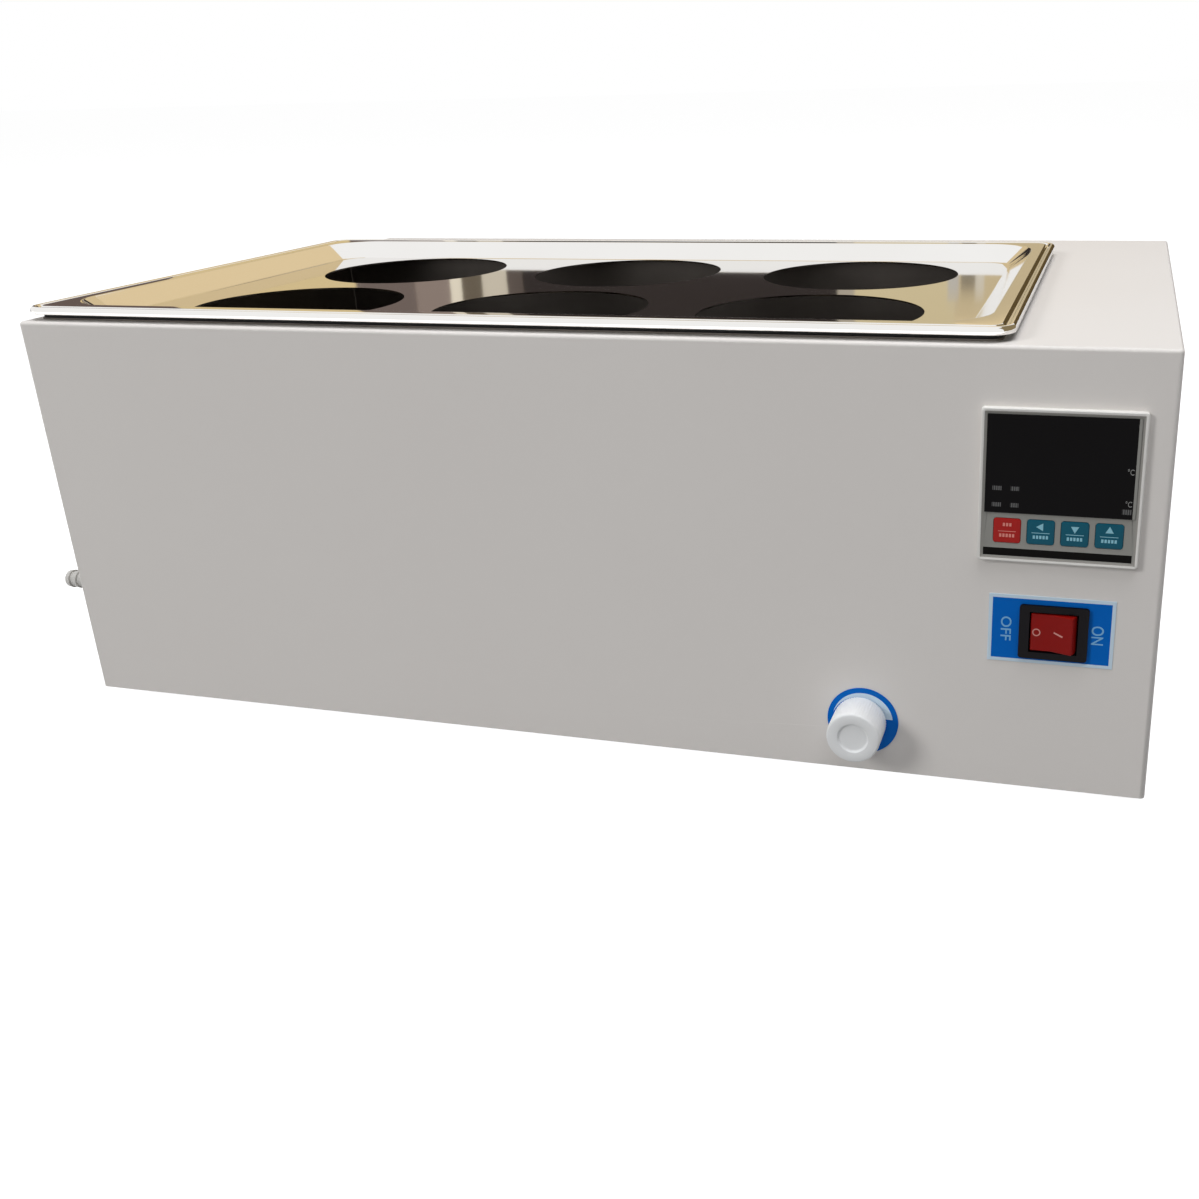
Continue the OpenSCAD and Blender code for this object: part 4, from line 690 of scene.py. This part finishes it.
def lettering(text, width, height, centre, turn=0.0):
    """Letters that face forward, sized and centred in casing millimetres, turned clockwise."""
    curve = bpy.data.curves.new("letters", "FONT")
    curve.body = text
    curve.extrude = 0.01
    curve.offset = 0.008
    letters = add_object("letters", curve)
    bm = bmesh.new()
    bm.from_mesh(bpy.data.meshes.new_from_object(letters))
    bpy.data.objects.remove(letters)
    spans = [[vert.co[axis] for vert in bm.verts] for axis in range(3)]
    middle = Vector([(min(span) + max(span)) / 2 for span in spans])
    sizes = [max(span) - min(span) for span in spans]
    bmesh.ops.translate(bm, verts=bm.verts, vec=-middle)
    bmesh.ops.scale(bm, verts=bm.verts, vec=Vector((width / sizes[0], height / sizes[1], 3)) / 1000)
    bmesh.ops.rotate(bm, verts=bm.verts, matrix=Matrix.Rotation(pi / 2, 3, "X"))
    bmesh.ops.rotate(bm, verts=bm.verts, matrix=Matrix.Rotation(radians(turn), 3, "Y"))
    bmesh.ops.translate(bm, verts=bm.verts, vec=centre)
    return bm


letter_lift = 0.00002
grey_ink = Finish("window_plastic", Roughness=0.5)
speck = grey_ink.noise(0.6, detail=2)
grey_ink.feed("Base Color", grey_ink.blend(speck, paint(116, 116, 114), paint(138, 138, 136)))
for name, height in (("degree_mark_upper", 163.8), ("degree_mark_lower", 149.1)):
    spot = at(582.5, 0, height)
    spot.y = window_low.y - letter_lift
    make_piece(name, lettering("\u00b0C", 2.8, 2.8, spot), grey_ink, "bath")

# ---- Keys ----
# Four moulded caps that press the board's switches. The first is red, the others teal, and each
# has its sign printed on it.

key_colours = {"key_red": (paint(166, 27, 24), paint(176, 33, 29)),
               "key_teal": (paint(0, 78, 98), paint(2, 87, 108))}
caps = {}
for slot, (dark, light) in key_colours.items():
    caps[slot] = Finish(slot, Specular_IOR_Level=0.2)
    soft = caps[slot].noise(2.4, detail=3)
    caps[slot].feed("Base Color", caps[slot].blend(soft, dark, light))
    caps[slot].feed("Roughness", 0.36 + soft * 0.12)
    caps[slot].relief(caps[slot].noise(0.5), 0.01)
pale_inks = {}
for slot, dark, light in (("key_red", paint(214, 128, 118), paint(222, 142, 132)),
                          ("key_teal", paint(132, 192, 210), paint(150, 204, 220))):
    pale_inks[slot] = Finish(slot, Roughness=0.5)
    grains = pale_inks[slot].noise(0.5)
    pale_inks[slot].feed("Base Color", pale_inks[slot].blend(grains, dark, light))
arrow_turns = {"key_set": None, "key_shift": -90, "key_down": 180, "key_up": 0}
ink_t, bar_gap = 0.00003, 0.45

for node, body in key_nodes.items():
    low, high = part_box(node)
    slot = "key_red" if node == "key_set" else "key_teal"
    back = Vector(((low.x + high.x) / 2, high.y, (low.z + high.z) / 2))
    travel = (high.y - low.y) * 1000
    bm = bmesh.new()
    rear = outline(bm, key_w + 2 * flange, key_h + 2 * flange, 1.2, back)
    front = stepped(bm, rear, back, key_w + 2 * flange, key_h + 2 * flange, [
        (0, 0.6), (flange, 0), (0, travel - 0.9), (0.06, 0.14), (0.2, 0.12), (0.6, 0.04)])
    bmesh.ops.edgeloop_fill(bm, edges=rear)
    bmesh.ops.edgeloop_fill(bm, edges=front)
    make_piece(body + "_cap", bm, caps[slot], body, node)

    # Rows of bars: height of the row, width and tallness of a bar in mm, and how many
    bm = bmesh.new()
    turn = arrow_turns[node]
    rows = [(-0.3, 8.0, 0.3, 1), (-2.3, 1.0, 1.6, 5)]
    if turn is None:
        rows += [(2.9, 1.0, 1.6, 3)]
    else:
        arrow = bmesh.ops.create_circle(bm, cap_ends=True, segments=3, radius=0.0021)["verts"]
        bmesh.ops.rotate(bm, verts=arrow, matrix=Matrix.Rotation(pi / 2, 3, "X"))
        bmesh.ops.rotate(bm, verts=arrow, matrix=Matrix.Rotation(radians(turn), 3, "Y"))
        bmesh.ops.translate(bm, verts=arrow, vec=(0, 0, 0.0026))
    for height, width, tall, count in rows:
        for place in range(count):
            bar = bmesh.ops.create_grid(bm, x_segments=1, y_segments=1, size=0.0005)["verts"]
            bmesh.ops.scale(bm, verts=bar, vec=(width, tall, 1))
            bmesh.ops.rotate(bm, verts=bar, matrix=Matrix.Rotation(pi / 2, 3, "X"))
            shift = (place - (count - 1) / 2) * (width + bar_gap)
            bmesh.ops.translate(bm, verts=bar, vec=(shift / 1000, 0, height / 1000))
    bmesh.ops.translate(bm, verts=bm.verts, vec=(back.x, low.y - ink_t, back.z))
    bmesh.ops.solidify(bm, geom=bm.faces[:], thickness=ink_t)
    make_piece(body + "_sign", bm, pale_inks[slot], body)

# ---- Switch label ----
# A printed polyester label with a pale border, stuck round the switch's opening, with the
# lettering turned to suit the switch.

blue_film = Finish("blue_film", Specular_IOR_Level=0.08)
label_low, label_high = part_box("switch_label")
left, foot = (label_low.x - corner.x) * 1000, (label_low.z - corner.z) * 1000
right, top = (label_high.x - corner.x) * 1000, (label_high.z - corner.z) * 1000
ink = blue_film.noise(30, detail=4)
blue = blue_film.blend(ink, paint(0, 100, 196), paint(2, 110, 206))
pale = paint(214, 234, 250)
border = 1.7
inner = patch(blue_film, left + border, right - border, foot + border, top - border)
on_label = patch(blue_film, left - 1, right + 1, foot - 1, top + 1)

# ---- Speed scale ----
# A round label of the same film under the knob. A pale wedge that widens clockwise shows the
# speed.

scale_low, scale_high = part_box("speed_scale")
scale_mid = (scale_low + scale_high) / 2
side = (blue_film.axis("X") - scale_mid.x) * 1000
rise = (blue_film.axis("Z") - scale_mid.z) * 1000
radius = (side * side + rise * rise).math("SQRT")
swept = rise.math("ARCTAN2", side) / radians(168)
wedge = (radius < 15.3) * (radius > 9.3 + swept * 6) * (rise > 1.9)
blue_film.feed("Base Color", blue_film.blend(
    on_label * (1 - inner) + wedge * (1 - on_label), blue, pale))
blue_film.feed("Roughness", 0.32 + ink * 0.1)
blue_film.relief(blue_film.noise(0.8), 0.008)
dress(blue_film, "switch_label", "speed_scale", edge=0.1)

pale_ink = Finish("blue_film", Roughness=0.4, Specular_IOR_Level=0.08)
pale_ink.feed("Base Color", pale_ink.blend(
    pale_ink.noise(0.7), paint(124, 184, 228), paint(140, 194, 234)))
for name, text, x, z, long, tall in (("off_letters", "OFF", 531.3, 84.0, 12.2, 4.9),
                                     ("on_letters", "ON", 573.2, 83.8, 9.4, 5.6)):
    spot = at(x, 0, z)
    spot.y = label_low.y - letter_lift
    make_piece(name, lettering(text, long, tall, spot, turn=90), pale_ink, "bath")

# ---- Rocker ----
# A red nylon rocker on two pins in the switch frame, shown off with its left half pressed in.
# A ring and a bar are printed on its halves.

rocker_red = Finish("rocker_red", Specular_IOR_Level=0.12)
depth = rocker_red.noise(8, detail=3)
rocker_red.feed("Base Color", rocker_red.blend(depth, paint(132, 11, 7), paint(146, 16, 11)))
rocker_red.feed("Roughness", 0.3 + depth * 0.1)
rocker_red.relief(rocker_red.noise(0.9), 0.01)

rocker_r, rocker_h, rocker_dip, rocker_front = 0.01085, 0.0188, 0.0038, 0.0054
pivot = at(553.2, 2, 83.65)
throw = Matrix.Rotation(radians(-10), 3, "Z")
bm = bmesh.new()
bmesh.ops.create_circle(bm, cap_ends=True, segments=96, radius=rocker_r)
slant = Vector((rocker_dip - rocker_front, -rocker_r, 0))
cuts = (((0, 0, 0), (-1, 0, 0)), ((0, -rocker_dip, 0), slant), ((0, rocker_r / 2, 0), (0, 1, 0)))
for place, facing in cuts:
    bmesh.ops.bisect_plane(bm, geom=bm.verts[:] + bm.edges[:] + bm.faces[:],
                           plane_co=place, plane_no=facing, clear_outer=True)
bmesh.ops.mirror(bm, geom=bm.verts[:] + bm.edges[:] + bm.faces[:], axis="X", merge_dist=1e-6)
bmesh.ops.dissolve_edges(bm, edges=[edge for edge in bm.edges if len(edge.link_faces) == 2])
bmesh.ops.translate(bm, verts=bm.verts, vec=(0, 0, -rocker_h / 2))
raised = bmesh.ops.extrude_face_region(bm, geom=bm.faces[:], use_keep_orig=True)["geom"]
bmesh.ops.translate(bm, verts=verts_of(raised), vec=(0, 0, rocker_h))
pin_r, pin_h = 0.0015, 0.0024
for end in (-1, 1):
    bmesh.ops.create_cone(bm, cap_ends=True, segments=32, radius1=pin_r, radius2=pin_r, depth=pin_h,
                          matrix=Matrix.Translation((0, 0, end * rocker_h / 2)))
bmesh.ops.rotate(bm, verts=bm.verts, matrix=throw)
bmesh.ops.translate(bm, verts=bm.verts, vec=pivot)
rocker = make_piece("rocker_cap", bm, rocker_red, "rocker", "switch_rocker")
edge_bevel(rocker, 0.5, limit=35, segments=4)

rocker_ink = Finish("rocker_red", Roughness=0.45)
rocker_ink.feed("Base Color", rocker_ink.blend(
    rocker_ink.noise(0.7), paint(204, 136, 128), paint(214, 150, 142)))
ink_lift, ink_ring_r, ink_bar, ink_bar_turn = 0.00004, 0.00136, (4.6, 0.8, 1), -18
tilt = (rocker_front - rocker_dip) / rocker_r
for name, reach in (("off_ring", -0.0070), ("on_bar", 0.0031)):
    bm = bmesh.new()
    if reach < 0:
        inner_ring = bmesh.ops.create_circle(bm, segments=48, radius=ink_ring_r)["verts"]
        edges = list({edge for vert in inner_ring for edge in vert.link_edges})
        extruded(bm, edges, scale=(1.4, 1.4, 1))
    else:
        bar = bmesh.ops.create_grid(bm, x_segments=1, y_segments=1, size=0.0005)["verts"]
        bmesh.ops.scale(bm, verts=bar, vec=ink_bar)
        bmesh.ops.rotate(bm, verts=bar, matrix=Matrix.Rotation(radians(ink_bar_turn), 3, "Z"))
    bmesh.ops.rotate(bm, verts=bm.verts, matrix=Matrix.Rotation(pi / 2, 3, "X"))
    lean = tilt if reach < 0 else -tilt
    bmesh.ops.rotate(bm, verts=bm.verts, matrix=Matrix.Rotation(lean, 3, "Z"))
    front_y = -rocker_dip - tilt * abs(reach)
    bmesh.ops.translate(bm, verts=bm.verts, vec=(reach, front_y - ink_lift, 0))
    bmesh.ops.solidify(bm, geom=bm.faces[:], thickness=ink_t)
    bmesh.ops.rotate(bm, verts=bm.verts, matrix=throw)
    bmesh.ops.translate(bm, verts=bm.verts, vec=pivot)
    make_piece(name, bm, rocker_ink, "rocker")

# ---- Knob ----
# A white moulded knob with fine ribs and a shallow dish in its face, pushed on the shaft of the
# speed control.

white = Finish("knob_white")
bloom = white.noise(10, detail=4)
white.feed("Base Color", white.blend(bloom, paint(238, 240, 241), paint(246, 247, 248)))
white.feed("Roughness", 0.36 + bloom * 0.12)
white.relief(white.noise(0.8), 0.01)

knob_low, knob_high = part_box("speed_knob")
knob_mid = (knob_low + knob_high) / 2
ribs, rib_height = 60, 0.008
cup_r, cup_deep = 9.75, 6
# Radius, distance from the knob's back and share of rib height of each ring, back to front
rings = [(cup_r, 0, 0), (13.0, 0, 0), (13.25, 0.3, 1), (13.25, 17.6, 1), (13.15, 18.2, 0.5),
         (12.9, 18.65, 0), (12.6, 18.87, 0), (12.2, 19.0, 0), (8.1, 19.0, 0), (7.75, 18.9, 0),
         (7.2, 18.1, 0), (6.8, 17.85, 0), (6.2, 17.8, 0)]
bm = bmesh.new()
cup = bmesh.ops.create_circle(bm, segments=288, radius=cup_r / 1000)["verts"]
bmesh.ops.rotate(bm, verts=cup, matrix=Matrix.Rotation(pi / 2, 3, "X"))
bmesh.ops.translate(bm, verts=cup, vec=(0, -cup_deep / 1000, 0))
floor = list({edge for vert in cup for edge in vert.link_edges})
ring = floor
for ring_r, forward, share in rings:
    ring = extruded(bm, ring)
    for vert in {vert for edge in ring for vert in edge.verts}:
        spoke = Vector((vert.co.x, 0, vert.co.z)).normalized()
        ripple = 1 + share * rib_height * cos(ribs * atan2(spoke.z, spoke.x))
        vert.co = spoke * ring_r / 1000 * ripple - Vector((0, forward / 1000, 0))
bmesh.ops.edgeloop_fill(bm, edges=ring)
bmesh.ops.edgeloop_fill(bm, edges=floor)
bmesh.ops.translate(bm, verts=bm.verts, vec=(knob_mid.x, knob_high.y, knob_mid.z))
make_piece("knob_cap", bm, white, "speed_control", "speed_knob")
